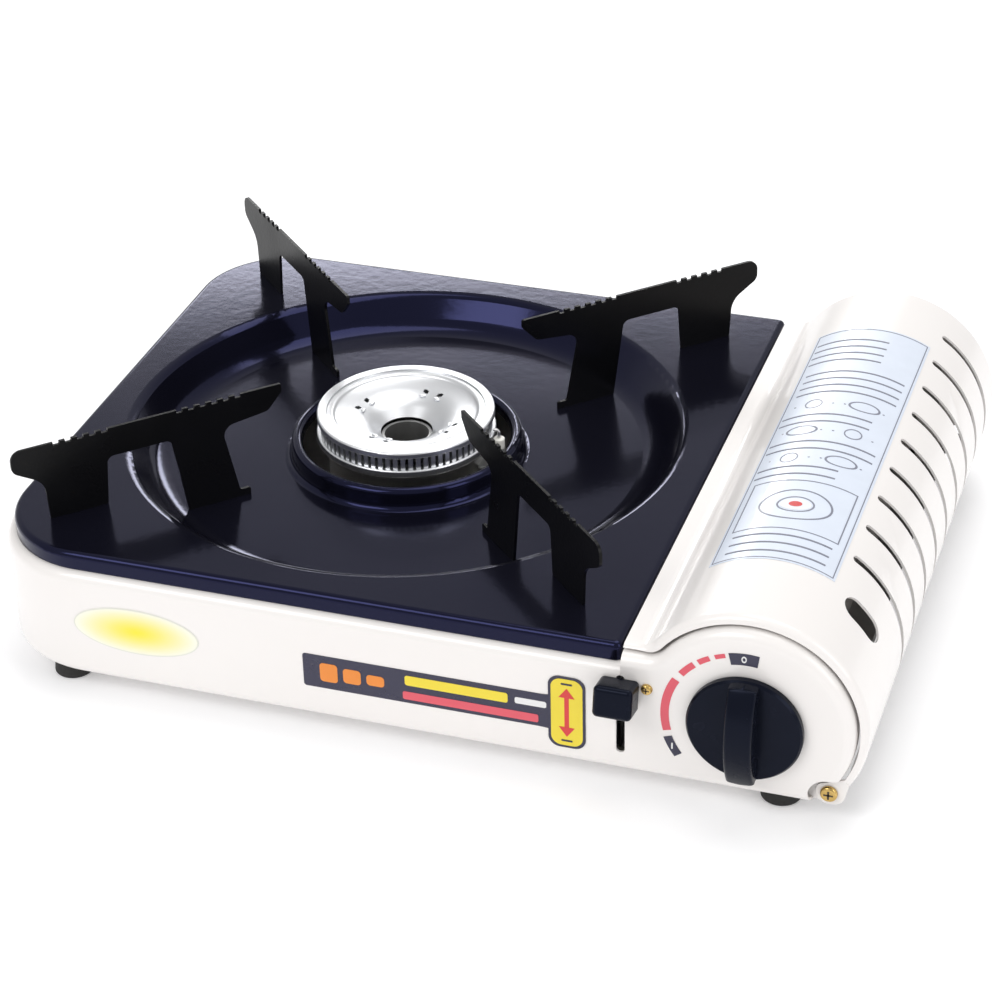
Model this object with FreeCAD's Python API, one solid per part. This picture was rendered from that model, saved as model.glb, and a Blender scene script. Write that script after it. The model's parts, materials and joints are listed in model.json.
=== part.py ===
"""Single burner butane cassette stove, modelled piece by piece in millimetres.

The origin is on the table, straight below the centre of the burner. +X runs along the front to the
cartridge bay, +Y runs from the front panel to the back, and +Z is up.
"""

import FreeCAD
import Part
import math
import os

Vector = FreeCAD.Vector
AXIS_X = Vector(1, 0, 0)
AXIS_Y = Vector(0, 1, 0)
AXIS_Z = Vector(0, 0, 1)

# Sheet metal and gaps between pieces
body_sheet = 1.0
lid_sheet = 1.0
plate_sheet = 0.8
rest_gap = 0.3          # between a moving piece and what it rests on
running_gap = 0.06      # between a turning shaft and its hole, on the radius
pass_gap = 0.3          # beside a piece that slides or swings past another

# Feet and tub of the body
foot_height = 9.0
foot_radius = 8.0
foot_inset = 15.0
foot_neck_radius = 2.6
foot_neck_flange = 3.8
tub_height = 47.6
body_bulge = 3.5        # how far the tub stands out past the plate
press_radius = 4.5      # rounding along the pressed edges of the tub
tub_flange = 8.0        # width of the rim turned inwards under the plate

# Top plate and its drip well
plate_width = 261.5
plate_depth = 263.0
plate_corner = 40.0
plate_square_corner = 3.0
plate_skirt = 7.1
plate_edge_radius = 2.5
well_rim_radius = 117.6
well_depth = 13.4
well_wall_run = 13.6    # from the rim in to where the wall meets the floor
well_rim_round = 5.0
well_floor_round = 12.0
collar_radius = 48.2
collar_height = 9.4
collar_round = 2.1
burner_hole_radius = 43.6
collar_lip = 4.5        # how far the inner lip of the collar turns down

# Cartridge bay: the round end panels and the lid share one axis
bay_offset = 48.25      # from the plate's right edge to the bay axis
bay_axis_height = 31.0  # above the underside of the tub
lid_radius = 45.0
lid_fillet = 8.0
lid_plate_gap = 0.55
lid_edge_round = 3.0
lid_end_angle = -34.0
lid_setback = 3.5       # lid's end face behind the front panel's face
arch_reveal = 4.5       # lid's outer face to the panel's edge, on the arch
flat_reveal = 2.5       # the same on the flat beside the plate
arch_fillet = 9.0
arch_corner = 6.0
arch_gap = 1.3          # between the panel's edge and the lid's turned rim
floor_right = 26.0      # from the bay axis to the right edge of the floor
floor_lip = 5.0

# Lid hinge
hinge_offset = 31.3     # from the bay axis
hinge_height = 4.6      # above the underside of the tub
hinge_shank_radius = 1.5
hinge_head_radius = 3.3
hinge_head_height = 1.6
ear_radius = 5.0
ear_notch_radius = 7.5
lug_radius = 4.5

# Slots and finger hole in the lid
lid_slot_count = 9
lid_slot_pitch = 22.35
lid_slot_width = 4.0
lid_slot_flat = 0.4     # flat left between the round corners of a slot's end
lid_slot_first = 61.1   # from the lid's front edge
lid_slot_top = 57.0
lid_slot_bottom = -10.0
finger_hole_from_front = 34.5
finger_hole_angle = 40.0
finger_hole_width = 11.5
finger_hole_length = 20.0

# Cartridge and its cradle
cartridge_radius = 33.5
cartridge_clearance = 1.1
cartridge_length = 194.0
cradle_sheet = 1.0
cradle_start_angle = 215.0
cradle_end_angle = 330.0
cradle_length = 175.0
cradle_wall_top = 60.0
cradle_window_length = 55.0
cradle_window_width = 26.0

# Pan supports
support_count = 4
support_sheet = 1.2
support_rise = 33.6     # tooth tips above the plate
support_inner_tip = 54.7
support_outer_tip = 169.0
support_tip_depth = 9.1
support_beam_depth = 12.6
inner_foot_start = 75.0
inner_foot_width = 23.0
inner_leg_lean = 6.5
outer_foot_start = 131.5
outer_foot_width = 24.0
tooth_pitch = 5.0
tooth_notch_width = 2.6
tooth_notch_depth = 1.3
inner_teeth_start = 72.2
inner_teeth_count = 6
outer_teeth_start = 128.8
outer_teeth_count = 5
foot_tab_width = 9.0
foot_tab_depth = 1.6    # below the sheet that it passes through
foot_nib_length = 4.0
foot_nib_height = 3.2

# Burner
burner_height = 70.7    # top rim above the table
ring_radius = 37.0
ring_inner_radius = 31.0
ring_rim_height = 3.0
ring_band_height = 5.2
ring_base_height = 3.5
ring_band_inset = 1.1
ring_edge_round = 0.8
port_count = 72
port_width = 1.3
dish_seat_radius = 33.1
dish_seat_depth = 1.8
dish_sheet = 1.2
dish_clearance = 0.1
dish_flat_radius = 24.5
dish_rim_run = 4.5
dish_depth = 6.0
dish_hole_radius = 10.7
louvre_count = 4
louvre_radius = 24.0
louvre_spacing = 4.6
louvre_length = 4.4
louvre_width = 1.5
bowl_radius = 33.0
bowl_flange_radius = 35.5
bowl_flange_height = 2.0
bowl_base_radius = 29.0
bowl_taper_height = 9.0
bowl_wall = 1.6
bowl_floor = 2.0
air_sleeve_radius = 10.5
air_sleeve_wall = 1.2
burner_stand = 11.2     # underside of the bowl above the floor of the tub

# Bracket under the burner
strap_sheet = 1.2
strap_width = 32.0
strap_foot_length = 14.0
strap_span = 96.0
strap_ramp = 6.0
strap_bend = 2.5
rivet_radius = 2.0
rivet_head_radius = 3.6
rivet_head_height = 1.4
rivet_spacing = 44.0

# Mixing tube, nozzle and gas pipe
mixer_angle = -33.4
mixer_radius = 9.0
mixer_wall = 1.0
mixer_height = 11.8     # tube axis above the underside of the bowl
mixer_throat_radius = 6.5
mixer_start = 31.0
mixer_taper_start = 66.0
mixer_throat_start = 76.0
mixer_throat_end = 86.0
mixer_chamber_start = 94.0
mixer_end = 112.0
air_window_length = 9.0
air_window_width = 8.0
nozzle_radius = 3.0
nozzle_tip_radius = 1.2
nozzle_tip_length = 8.0
nozzle_collar_radius = 5.0
nozzle_collar_length = 4.0
pipe_radius = 2.0
pipe_bend = 6.0
pipe_low_height = 15.0

# Heat shield between the burner and the cartridge
shield_sheet = 1.0
shield_inset = 2.25     # right face of the shield in from the plate's right edge
shield_foot = 12.0
shield_end_gap = 13.5   # from the outer faces of the front and back
shield_slot_count = 7
shield_slot_pitch = 22.0
shield_slot_width = 5.0
shield_slot_low = 24.0
shield_slot_high = 46.0

# Spindle, knob and cam
spindle_radius = 3.0
spindle_hole_radius = 6.0
knob_radius = 22.0
knob_gap = 0.6
knob_disc_depth = 5.4
knob_grip_depth = 14.5
knob_grip_width = 10.5
knob_edge_round = 1.5
knob_socket_depth = 10.0
knob_turn = 120.0
cam_base_radius = 7.0
cam_lift = 4.0
cam_thickness = 5.5
cam_setback = 4.0       # from the front panel's face
cam_points = 9

# Igniter, its lead and the spark electrode
igniter_radius = 4.7
igniter_length = 22.0
igniter_end_gap = 16.0  # from the spindle axis to the igniter's nose
igniter_bore_depth = 13.0
plunger_radius = 3.0
plunger_gap = 0.35
plunger_hidden = 8.0    # length of plunger inside the igniter at rest
lead_radius = 1.2
insulator_radius = 2.4
insulator_offset = 40.5
insulator_length = 23.0
insulator_top = 63.0
electrode_radius = 0.7
electrode_rise = 3.5
electrode_reach = 2.2
electrode_hidden = 8.0
electrode_lug_sheet = 1.5
electrode_lug_height = 50.0
electrode_lug_width = 10.0

# Regulator and its bulkhead
regulator_radius = 20.0
regulator_neck_radius = 9.0
regulator_neck_start = 11.0     # from the front panel's face
regulator_main_start = 15.0
regulator_main_end = 34.0
regulator_flange_radius = 20.0
regulator_flange_start = 41.0
regulator_block_radius = 13.5
bulkhead_front = 44.0
bulkhead_sheet = 1.0
bulkhead_width = 35.0           # each side of the bay axis
bulkhead_top = 32.0             # above the bay axis
bulkhead_foot = 13.0
bulkhead_hole_radius = 12.5
spindle_bore_depth = 14.0
outlet_height = -16.0           # below the spindle axis
outlet_radius = 4.0
outlet_reach = 21.0
cap_boss_radius = 14.0
cap_boss_rise = 22.0
cap_radius = 16.0
cap_flange_height = 2.0
cap_dome_radius = 10.5
cap_dome_height = 8.0
cap_adjuster_radius = 4.0
cap_adjuster_height = 3.0
cap_screw_circle = 13.4
cap_screw_radius = 1.4
cap_screw_count = 3
inlet_reach = 11.0              # from the bulkhead's front face to the nose of the inlet
inlet_flange_radius = 9.5
inlet_flange_length = 2.5
inlet_nose_radius = 5.5
inlet_bore_radius = 2.15
inlet_bore_depth = 7.5
seal_thickness = 1.2
seal_radius = 2.8
seal_hole_radius = 0.9
locator_width = 5.0
locator_length = 8.0
small_screw_radius = 1.5
small_screw_head_radius = 2.6
small_screw_head_height = 1.8

# Locking lever, its bracket and the carriage that moves the cartridge
lever_plane = 0.65              # left face of the slot past the plate's right edge is minus this
lever_slot_width = 3.4
lever_slot_low = 9.0            # above the underside of the tub
lever_slot_high = 44.0
lever_sheet = 2.0
lever_reach = 57.0              # pivot behind the front panel's face
lever_pivot_height = 25.0       # above the underside of the tub
lever_swing = 23.0
lever_arm_height = 7.0
lever_boss_radius = 6.0
lever_upper_arm = 18.5
lever_upper_width = 8.0
lever_pin_radius = 2.0
button_width = 15.0
button_height = 12.6
button_depth = 10.2
button_back_radius = 60.4
button_round = 2.0
arm_in_button = 5.5
bracket_sheet = 1.0
bracket_gap = 0.6
bracket_flange_width = 16.0
bracket_low = 25.0              # above the underside of the tub
bracket_high = 48.0
bracket_end_radius = 7.0
lever_screw_offset = 10.1       # from the middle of the slot
lever_screw_height = 40.0       # above the underside of the tub
lever_screw_head_radius = 2.2
lever_screw_head_height = 1.6
carriage_sheet = 1.2
carriage_gap = 2.0              # from the lever bracket to the carriage
carriage_height = 13.0
carriage_plate_width = 66.0
carriage_plate_low = -17.0      # from the cartridge axis
carriage_plate_high = 16.0
carriage_rivet_radius = 1.9
carriage_rivet_head_radius = 4.0
carriage_rivet_head_height = 1.1
carriage_rivet_spots = (-40.0, 80.0)

# Places that follow from the sizes above
floor_z = foot_height
floor_top = floor_z + body_sheet
tub_top = floor_z + tub_height
skirt_bottom = tub_top + rest_gap
deck_z = skirt_bottom + plate_skirt
well_floor = deck_z - well_depth
half_width = plate_width / 2
half_depth = plate_depth / 2
body_left = -half_width - body_bulge
body_half_depth = half_depth + body_bulge
bay_x = half_width + bay_offset
bay_z = floor_z + bay_axis_height
lid_left = half_width + lid_plate_gap
arch_radius = lid_radius - arch_reveal
arch_flat = deck_z - flat_reveal
lid_half_depth = body_half_depth - lid_setback
hinge_x = bay_x + hinge_offset
hinge_z = floor_z + hinge_height
floor_end = bay_x + floor_right
saddle_radius = cartridge_radius + cartridge_clearance
cartridge_z = floor_top + cradle_sheet + saddle_radius
bulkhead_y = -body_half_depth + bulkhead_front
support_top = deck_z + support_rise
bowl_z = floor_top + burner_stand
ring_top = burner_height
ring_z = ring_top - ring_rim_height - ring_band_height - ring_base_height
mixer_z = bowl_z + mixer_height
shield_right = half_width - shield_inset
slot_x = half_width + lever_plane
lever_y = -body_half_depth + lever_reach
lever_z = floor_z + lever_pivot_height
lever_left = slot_x - lever_sheet / 2
lever_right = slot_x + lever_sheet / 2
bracket_left = lever_right + bracket_gap
bracket_right = bracket_left + bracket_sheet
carriage_left = bracket_right + carriage_gap
carriage_right = carriage_left + carriage_sheet
carriage_z = lever_z + lever_upper_arm * math.cos(math.radians(lever_swing / 2))
cradle_wall_x = carriage_right + 1.0
carriage_travel = 2 * lever_upper_arm * math.sin(math.radians(lever_swing / 2))
cam_y = -body_half_depth + cam_setback
igniter_y = cam_y + cam_thickness / 2
igniter_nose = bay_x - igniter_end_gap
igniter_tail = igniter_nose - igniter_length
regulator_mid_y = -body_half_depth + (regulator_main_start + regulator_main_end) / 2


def place(plane, across, up, level):
    """Point on a principal plane: xy, xz or yz, at the given level along its normal."""
    if plane == "xy":
        return Vector(across, up, level)
    if plane == "xz":
        return Vector(across, level, up)
    return Vector(level, across, up)


def plane_normal(plane):
    """Direction in which a slab on the plane is thickened."""
    return {"xy": AXIS_Z, "xz": AXIS_Y, "yz": AXIS_X}[plane]


def rounded_edges(corners, closed=True):
    """Straight runs joined by tangent arcs through (point, radius) corners."""
    count = len(corners)
    spans = []
    for index, (point, radius) in enumerate(corners):
        is_end = not closed and index in (0, count - 1)
        if radius <= 0 or is_end:
            spans.append((point, None, point))
            continue
        before = (corners[index - 1][0] - point).normalize()
        after = (corners[(index + 1) % count][0] - point).normalize()
        half_angle = before.getAngle(after) / 2
        reach = radius / math.tan(half_angle)
        inward = (before + after).normalize()
        middle = point + inward * (radius / math.sin(half_angle) - radius)
        spans.append((point + before * reach, middle, point + after * reach))
    edges = []
    for index, (start, middle, end) in enumerate(spans):
        if middle is not None:
            edges.append(Part.Arc(start, middle, end).toShape())
        if index == count - 1 and not closed:
            break
        following = spans[(index + 1) % count][0]
        if end.distanceToPoint(following) > 1e-6:
            edges.append(Part.LineSegment(end, following).toShape())
    return edges


def outline(corners, plane, level=0.0):
    """Closed wire through (across, up) or (across, up, radius) corners on a principal plane."""
    points = []
    for corner in corners:
        radius = corner[2] if len(corner) > 2 else 0.0
        points.append((place(plane, corner[0], corner[1], level), radius))
    return Part.Wire(rounded_edges(points))


def slab(corners, plane, low, high):
    """Outline thickened from one level to another along the plane's normal."""
    face = Part.Face(outline(corners, plane, low))
    return face.extrude(plane_normal(plane) * (high - low))


def block(low, high):
    """Box between two corners."""
    size = [b - a for a, b in zip(low, high)]
    return Part.makeBox(size[0], size[1], size[2], Vector(*low))


def rod(start, end, radius):
    """Round bar from one point to another."""
    direction = end - start
    return Part.makeCylinder(radius, direction.Length, start, direction)


def turned(profile, centre, axis):
    """Solid of revolution of a (radius, along) profile about an axis through the centre."""
    wire = outline(profile, "xz")
    solid = Part.Face(wire).revolve(Vector(0, 0, 0), AXIS_Z, 360)
    solid.Placement = FreeCAD.Placement(centre, FreeCAD.Rotation(AXIS_Z, axis))
    return solid


def sheet_corners(path, thickness):
    """Outline of a sheet that lies to the left of an open path of (across, up, radius) corners."""
    directions = []
    for first, second in zip(path, path[1:]):
        length = math.hypot(second[0] - first[0], second[1] - first[1])
        directions.append(((second[0] - first[0]) / length, (second[1] - first[1]) / length))
    inner = []
    for index, (across, up, radius) in enumerate(path):
        before = directions[max(index - 1, 0)]
        after = directions[min(index, len(directions) - 1)]
        turn = before[0] * after[1] - before[1] * after[0]
        cosine = before[0] * after[0] + before[1] * after[1]
        scale = thickness / (1 + cosine)
        shift = (-(before[1] + after[1]) * scale, (before[0] + after[0]) * scale)
        inner_radius = radius - math.copysign(thickness, turn) if radius > 0 else 0.0
        inner.append((across + shift[0], up + shift[1], max(inner_radius, 0.0)))
    return list(path) + inner[::-1]


def ring_sector(inner, outer, start, end, low, high):
    """Part of a ring about the bay axis, between two angles above +X and two depths."""
    edges = []
    corners = []
    for radius, angles in ((outer, (start, end)), (inner, (end, start))):
        points = [bay_point(radius, angle, low) for angle in (angles[0], sum(angles) / 2, angles[1])]
        edges.append(Part.Arc(*points).toShape())
        corners += [points[0], points[2]]
    edges.insert(1, Part.LineSegment(corners[1], corners[2]).toShape())
    edges.append(Part.LineSegment(corners[3], corners[0]).toShape())
    return Part.Face(Part.Wire(edges)).extrude(AXIS_Y * (high - low))


def bay_point(radius, angle, depth, centre_z=None):
    """Point at a radius and an angle above +X round the bay axis, at a depth along Y."""
    height = bay_z if centre_z is None else centre_z
    turn = math.radians(angle)
    return Vector(bay_x + radius * math.cos(turn), depth, height + radius * math.sin(turn))


def smooth(points, radius):
    """Round bar along a path of straight runs joined by tangent arcs."""
    corners = [(Vector(*point), bend) for *point, bend in points]
    path = Part.Wire(rounded_edges(corners, closed=False))
    start = corners[0][0]
    direction = corners[1][0] - start
    section = Part.Wire(Part.makeCircle(radius, start, direction))
    return path.makePipeShell([section], True, False)


def mirrored(shape):
    """The shape and its mirror image across the middle of the stove's depth."""
    return [shape, shape.mirror(Vector(0, 0, 0), AXIS_Y)]


def join(shapes):
    """One solid from overlapping or touching solids."""
    result = shapes[0].multiFuse(shapes[1:]) if len(shapes) > 1 else shapes[0]
    return result.removeSplitter()


def rounded(shape, radius, wanted):
    """The shape with a fillet on every edge that the test picks."""
    return shape.makeFillet(radius, [edge for edge in shape.Edges if wanted(edge)])


def lies_on(edge, axis, level):
    """Whether the whole edge lies at one level along an axis, 0 for X, 1 for Y and 2 for Z."""
    box = edge.BoundBox
    low = (box.XMin, box.YMin, box.ZMin)[axis]
    high = (box.XMax, box.YMax, box.ZMax)[axis]
    return abs(low - level) < 1e-4 and abs(high - level) < 1e-4


def plan_corners(inset, right, round_left, round_right=0.0):
    """Plan of the tub or the plate, drawn in by the inset on the left, front and back."""
    left, depth = inset
    return [
        (left, -depth, round_left),
        (right, -depth, round_right),
        (right, depth, round_right),
        (left, depth, round_left),
    ]


def arch_wire(growth, left, radius, flat, fillet, depth):
    """Outline of a bay end: floor, round end, hollow fillet and the flat beside the plate.

    Growth moves the whole outline outwards, or inwards where it is negative.
    """
    radius = radius + growth
    flat = flat + growth
    hollow = fillet - growth
    corner = arch_corner + growth
    bottom = floor_z - growth
    hollow_z = flat + hollow
    hollow_x = bay_x - math.sqrt((radius + hollow) ** 2 - (hollow_z - bay_z) ** 2)
    corner_z = bottom + corner
    corner_x = bay_x + math.sqrt((radius - corner) ** 2 - (bay_z - corner_z) ** 2)
    top_angle = math.degrees(math.atan2(hollow_z - bay_z, hollow_x - bay_x))
    end_angle = math.degrees(math.atan2(corner_z - bay_z, corner_x - bay_x))
    hollow_turn = math.radians((top_angle - 180 - 90) / 2)
    corner_turn = math.radians((end_angle - 90) / 2)
    hollow_mid = Vector(hollow_x + hollow * math.cos(hollow_turn), depth, hollow_z + hollow * math.sin(hollow_turn))
    corner_mid = Vector(corner_x + corner * math.cos(corner_turn), depth, corner_z + corner * math.sin(corner_turn))
    start = Vector(left, depth, bottom)
    flat_start = Vector(left, depth, flat)
    flat_end = Vector(hollow_x, depth, flat)
    arch_start = bay_point(radius, top_angle, depth)
    arch_mid = bay_point(radius, (top_angle + end_angle) / 2, depth)
    arch_end = bay_point(radius, end_angle, depth)
    floor_start = Vector(corner_x, depth, bottom)
    return Part.Wire([
        Part.LineSegment(start, flat_start).toShape(),
        Part.LineSegment(flat_start, flat_end).toShape(),
        Part.Arc(flat_end, hollow_mid, arch_start).toShape(),
        Part.Arc(arch_start, arch_mid, arch_end).toShape(),
        Part.Arc(arch_end, corner_mid, floor_start).toShape(),
        Part.LineSegment(floor_start, start).toShape(),
    ])


def panel_prism(growth, left, front, back):
    """Solid inside the outline of a bay end panel."""
    wire = arch_wire(growth, left, arch_radius, arch_flat, arch_fillet, front)
    return Part.Face(wire).extrude(AXIS_Y * (back - front))


def lid_prism(growth, left, front, back):
    """Solid inside the outer face of the lid."""
    wire = arch_wire(growth, left, lid_radius, deck_z, lid_fillet, front)
    return Part.Face(wire).extrude(AXIS_Y * (back - front))


def tub_volume(inset, right):
    """Tub with its rounded top and bottom edges, drawn in by the inset."""
    left = body_left + inset
    depth = body_half_depth - inset
    corners = plan_corners((left, depth), right, plate_corner + body_bulge - inset)
    solid = slab(corners, "xy", floor_z + inset, tub_top - inset)
    levels = (floor_z + inset, tub_top - inset)

    def on_rim(edge):
        flat = any(lies_on(edge, 2, level) for level in levels)
        return flat and not lies_on(edge, 0, right)

    return rounded(solid, press_radius - inset, on_rim)


def end_volume(inset, left, back):
    """Front bay end with its rounded front edge, drawn in by the inset."""
    front = -body_half_depth + inset
    solid = panel_prism(-inset, left, front, back)

    def on_front(edge):
        return lies_on(edge, 1, front) and not lies_on(edge, 0, left)

    return rounded(solid, press_radius - inset, on_front)


def foot_places():
    """Name and (x, y) of each foot."""
    left = body_left + plate_corner - foot_inset / 2
    right = bay_x + floor_right - foot_inset
    depth = body_half_depth - foot_inset
    return [
        ("front_left", (left, -depth)),
        ("front_right", (right, -depth)),
        ("rear_left", (left, depth)),
        ("rear_right", (right, depth)),
    ]


def make_body_shell():
    """Pressed body: tub, bay floor, round front and rear ends and the lugs that carry the lid."""
    flange_back = -body_half_depth + tub_flange
    outer_ends = mirrored(end_volume(0.0, lid_left, flange_back))
    floor_depth = -flange_back
    floor = block((lid_left, -floor_depth, floor_z), (floor_end, floor_depth, floor_top))
    lip = block((floor_end - body_sheet, -floor_depth, floor_z), (floor_end, floor_depth, floor_top + floor_lip))
    outer = join([tub_volume(0.0, lid_left), floor, lip] + outer_ends)
    reach = 2 * press_radius
    inner_ends = mirrored(end_volume(body_sheet, lid_left + body_sheet, flange_back + body_sheet))
    hollow = join([tub_volume(body_sheet, lid_left + reach)] + inner_ends)
    shell = outer.cut(hollow)
    shell = join([shell, floor, lip])
    mouth = plan_corners(
        (body_left + tub_flange, body_half_depth - tub_flange), lid_left + reach,
        plate_corner + body_bulge - tub_flange)
    cuts = [slab(mouth, "xy", tub_top - press_radius, tub_top + press_radius)]
    notch_back = -lid_half_depth + lid_sheet + rest_gap
    notch_start = Vector(hinge_x, -body_half_depth - 1, hinge_z)
    cuts += mirrored(rod(notch_start, Vector(hinge_x, notch_back, hinge_z), ear_notch_radius))
    cuts += body_holes()
    shell = shell.cut(cuts)
    shell = join([shell] + mirrored(hinge_lug(notch_back)))
    pin_start = Vector(hinge_x, notch_back - 1, hinge_z)
    return shell.cut(mirrored(rod(pin_start, pin_start + AXIS_Y * tub_flange, hinge_shank_radius)))


def hinge_lug(front):
    """Ear turned up from the floor behind the lid's ear."""
    corners = [
        (floor_end - 3 * body_sheet, floor_z),
        (floor_end - 3 * body_sheet, hinge_z + lug_radius, 2.0),
        (hinge_x + lug_radius, hinge_z + lug_radius, lug_radius - 0.1),
        (hinge_x + lug_radius, hinge_z - lug_radius, lug_radius - 0.1),
        (floor_end, floor_z),
    ]
    return slab(corners, "xz", front, front + body_sheet)


def body_holes():
    """Openings of the body: lever slot, spindle, lever screw, feet and the vents under the burner."""
    front = -body_half_depth - 1
    back = -body_half_depth + 2 * body_sheet
    half_slot = lever_slot_width / 2
    slot = [
        (slot_x - half_slot, floor_z + lever_slot_low, half_slot - 0.1),
        (slot_x + half_slot, floor_z + lever_slot_low, half_slot - 0.1),
        (slot_x + half_slot, floor_z + lever_slot_high, half_slot - 0.1),
        (slot_x - half_slot, floor_z + lever_slot_high, half_slot - 0.1),
    ]
    cuts = [slab(slot, "xz", front, back)]
    cuts.append(rod(Vector(bay_x, front, bay_z), Vector(bay_x, back, bay_z), spindle_hole_radius))
    screw = Vector(slot_x + lever_screw_offset, front, floor_z + lever_screw_height)
    cuts.append(rod(screw, Vector(screw.x, back, screw.z), small_screw_radius))
    for name, (x, y) in foot_places():
        cuts.append(rod(Vector(x, y, floor_z - 1), Vector(x, y, floor_top + 1), foot_neck_radius))
    for x, y in floor_screw_places():
        cuts.append(rod(Vector(x, y, floor_z - 1), Vector(x, y, floor_top + 1), small_screw_radius))
    for side in (-1, 1):
        for step in range(4):
            x = side * (strap_width + 15.0 * step)
            vent = [(x - 2.0, -25.0, 1.9), (x + 2.0, -25.0, 1.9), (x + 2.0, 25.0, 1.9), (x - 2.0, 25.0, 1.9)]
            cuts.append(slab(vent, "xy", floor_z - 1, floor_top + 1))
    return cuts


def floor_screw_places():
    """(x, y) of the screws that hold the burner strap and the bulkhead to the floor."""
    strap_y = strap_span / 2 + strap_foot_length / 2
    bulkhead_screw_y = bulkhead_y - bulkhead_foot / 2
    return [
        (0.0, -strap_y), (0.0, strap_y),
        (bay_x - bulkhead_width / 2, bulkhead_screw_y), (bay_x + bulkhead_width / 2, bulkhead_screw_y),
    ]


def make_foot(x, y):
    """Rubber foot with a neck through the floor and a button that holds it."""
    button = floor_top + rest_gap
    profile = [
        (0, 0), (foot_radius, 0, 1.0), (foot_radius - 1.0, floor_z), (foot_neck_radius, floor_z),
        (foot_neck_radius, floor_top), (foot_neck_flange, floor_top), (foot_neck_radius, button + 2.0, 0.8),
        (0, button + 2.0),
    ]
    return turned(profile, Vector(x, y, 0), AXIS_Z)


def make_floor_screws():
    """Pan head screws down through the strap feet and the bulkhead foot into the floor."""
    screws = []
    for index, (x, y) in enumerate(floor_screw_places()):
        seat = floor_top + (strap_sheet if index < 2 else bulkhead_sheet)
        screws.append(pan_screw(Vector(x, y, seat), Vector(0, 0, 1), seat - floor_z))
    return Part.Compound(screws)


def pan_screw(seat, outward, shank, shank_radius=small_screw_radius, head_radius=small_screw_head_radius,
              head_height=small_screw_head_height):
    """Screw with its head standing outwards from the seat and its shank going the other way."""
    profile = [
        (0, -shank), (shank_radius, -shank), (shank_radius, 0), (head_radius, 0),
        (head_radius, head_height, head_height * 0.7), (0, head_height),
    ]
    return turned(profile, seat, outward)


def make_top_plate():
    """Enamelled plate: skirt, round drip well, collar round the burner and slots for the supports."""
    outer = slab(plan_corners((-half_width, half_depth), half_width, plate_corner, plate_square_corner),
                 "xy", skirt_bottom, deck_z)
    outer = rounded(outer, plate_edge_radius, lambda edge: lies_on(edge, 2, deck_z))
    inner_top = deck_z - plate_sheet
    inner = slab(
        plan_corners((-half_width + plate_sheet, half_depth - plate_sheet), half_width - plate_sheet,
                     plate_corner - plate_sheet, plate_square_corner - plate_sheet),
        "xy", skirt_bottom - 1, inner_top)
    inner = rounded(inner, plate_edge_radius - plate_sheet, lambda edge: lies_on(edge, 2, inner_top))
    join_radius = well_rim_radius + 2.0
    pan = outer.cut(inner).cut(rod(Vector(0, 0, 0), Vector(0, 0, deck_z + 1), join_radius))
    collar_top = well_floor + collar_height
    rim_corner = well_rim_radius - well_rim_round / 2
    path = [
        (join_radius, deck_z, 0.0),
        (rim_corner, deck_z, well_rim_round),
        (well_rim_radius - well_wall_run, well_floor, well_floor_round),
        (collar_radius, well_floor, collar_round + plate_sheet),
        (collar_radius, collar_top, collar_round + 0.4),
        (burner_hole_radius, collar_top, collar_round),
        (burner_hole_radius, collar_top - collar_lip, 0.0),
    ]
    well = turned(sheet_corners(path, plate_sheet), Vector(0, 0, 0), AXIS_Z)
    cuts = []
    for angle in support_angles():
        for start, level in foot_tabs():
            half = support_sheet / 2 + 0.1
            hole = block((start - 0.1, -half, level - 2 * plate_sheet),
                         (start + foot_tab_width + 0.1, half, level + plate_sheet))
            cuts.append(hole.rotate(Vector(0, 0, 0), AXIS_Z, angle))
    return join([pan, well]).cut(cuts)


def support_angles():
    """Directions of the pan supports, counted from +X."""
    step = 360.0 / support_count
    return [step / 2 + step * index for index in range(support_count)]


def foot_tabs():
    """Start radius and seat height of the tab under each foot of a support."""
    inner = inner_foot_start + (inner_foot_width - foot_tab_width) / 2
    outer = outer_foot_start + (outer_foot_width - foot_tab_width) / 2
    return [(inner, well_floor), (outer, deck_z)]


def support_teeth(start, count):
    """Corners of the notches that leave square teeth along the top edge."""
    corners = []
    for index in range(count):
        left = start + tooth_pitch * index
        right = left + tooth_notch_width
        low = support_top - tooth_notch_depth
        corners += [(left, support_top), (left, low, 0.4), (right, low, 0.4), (right, support_top)]
    return corners


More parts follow.
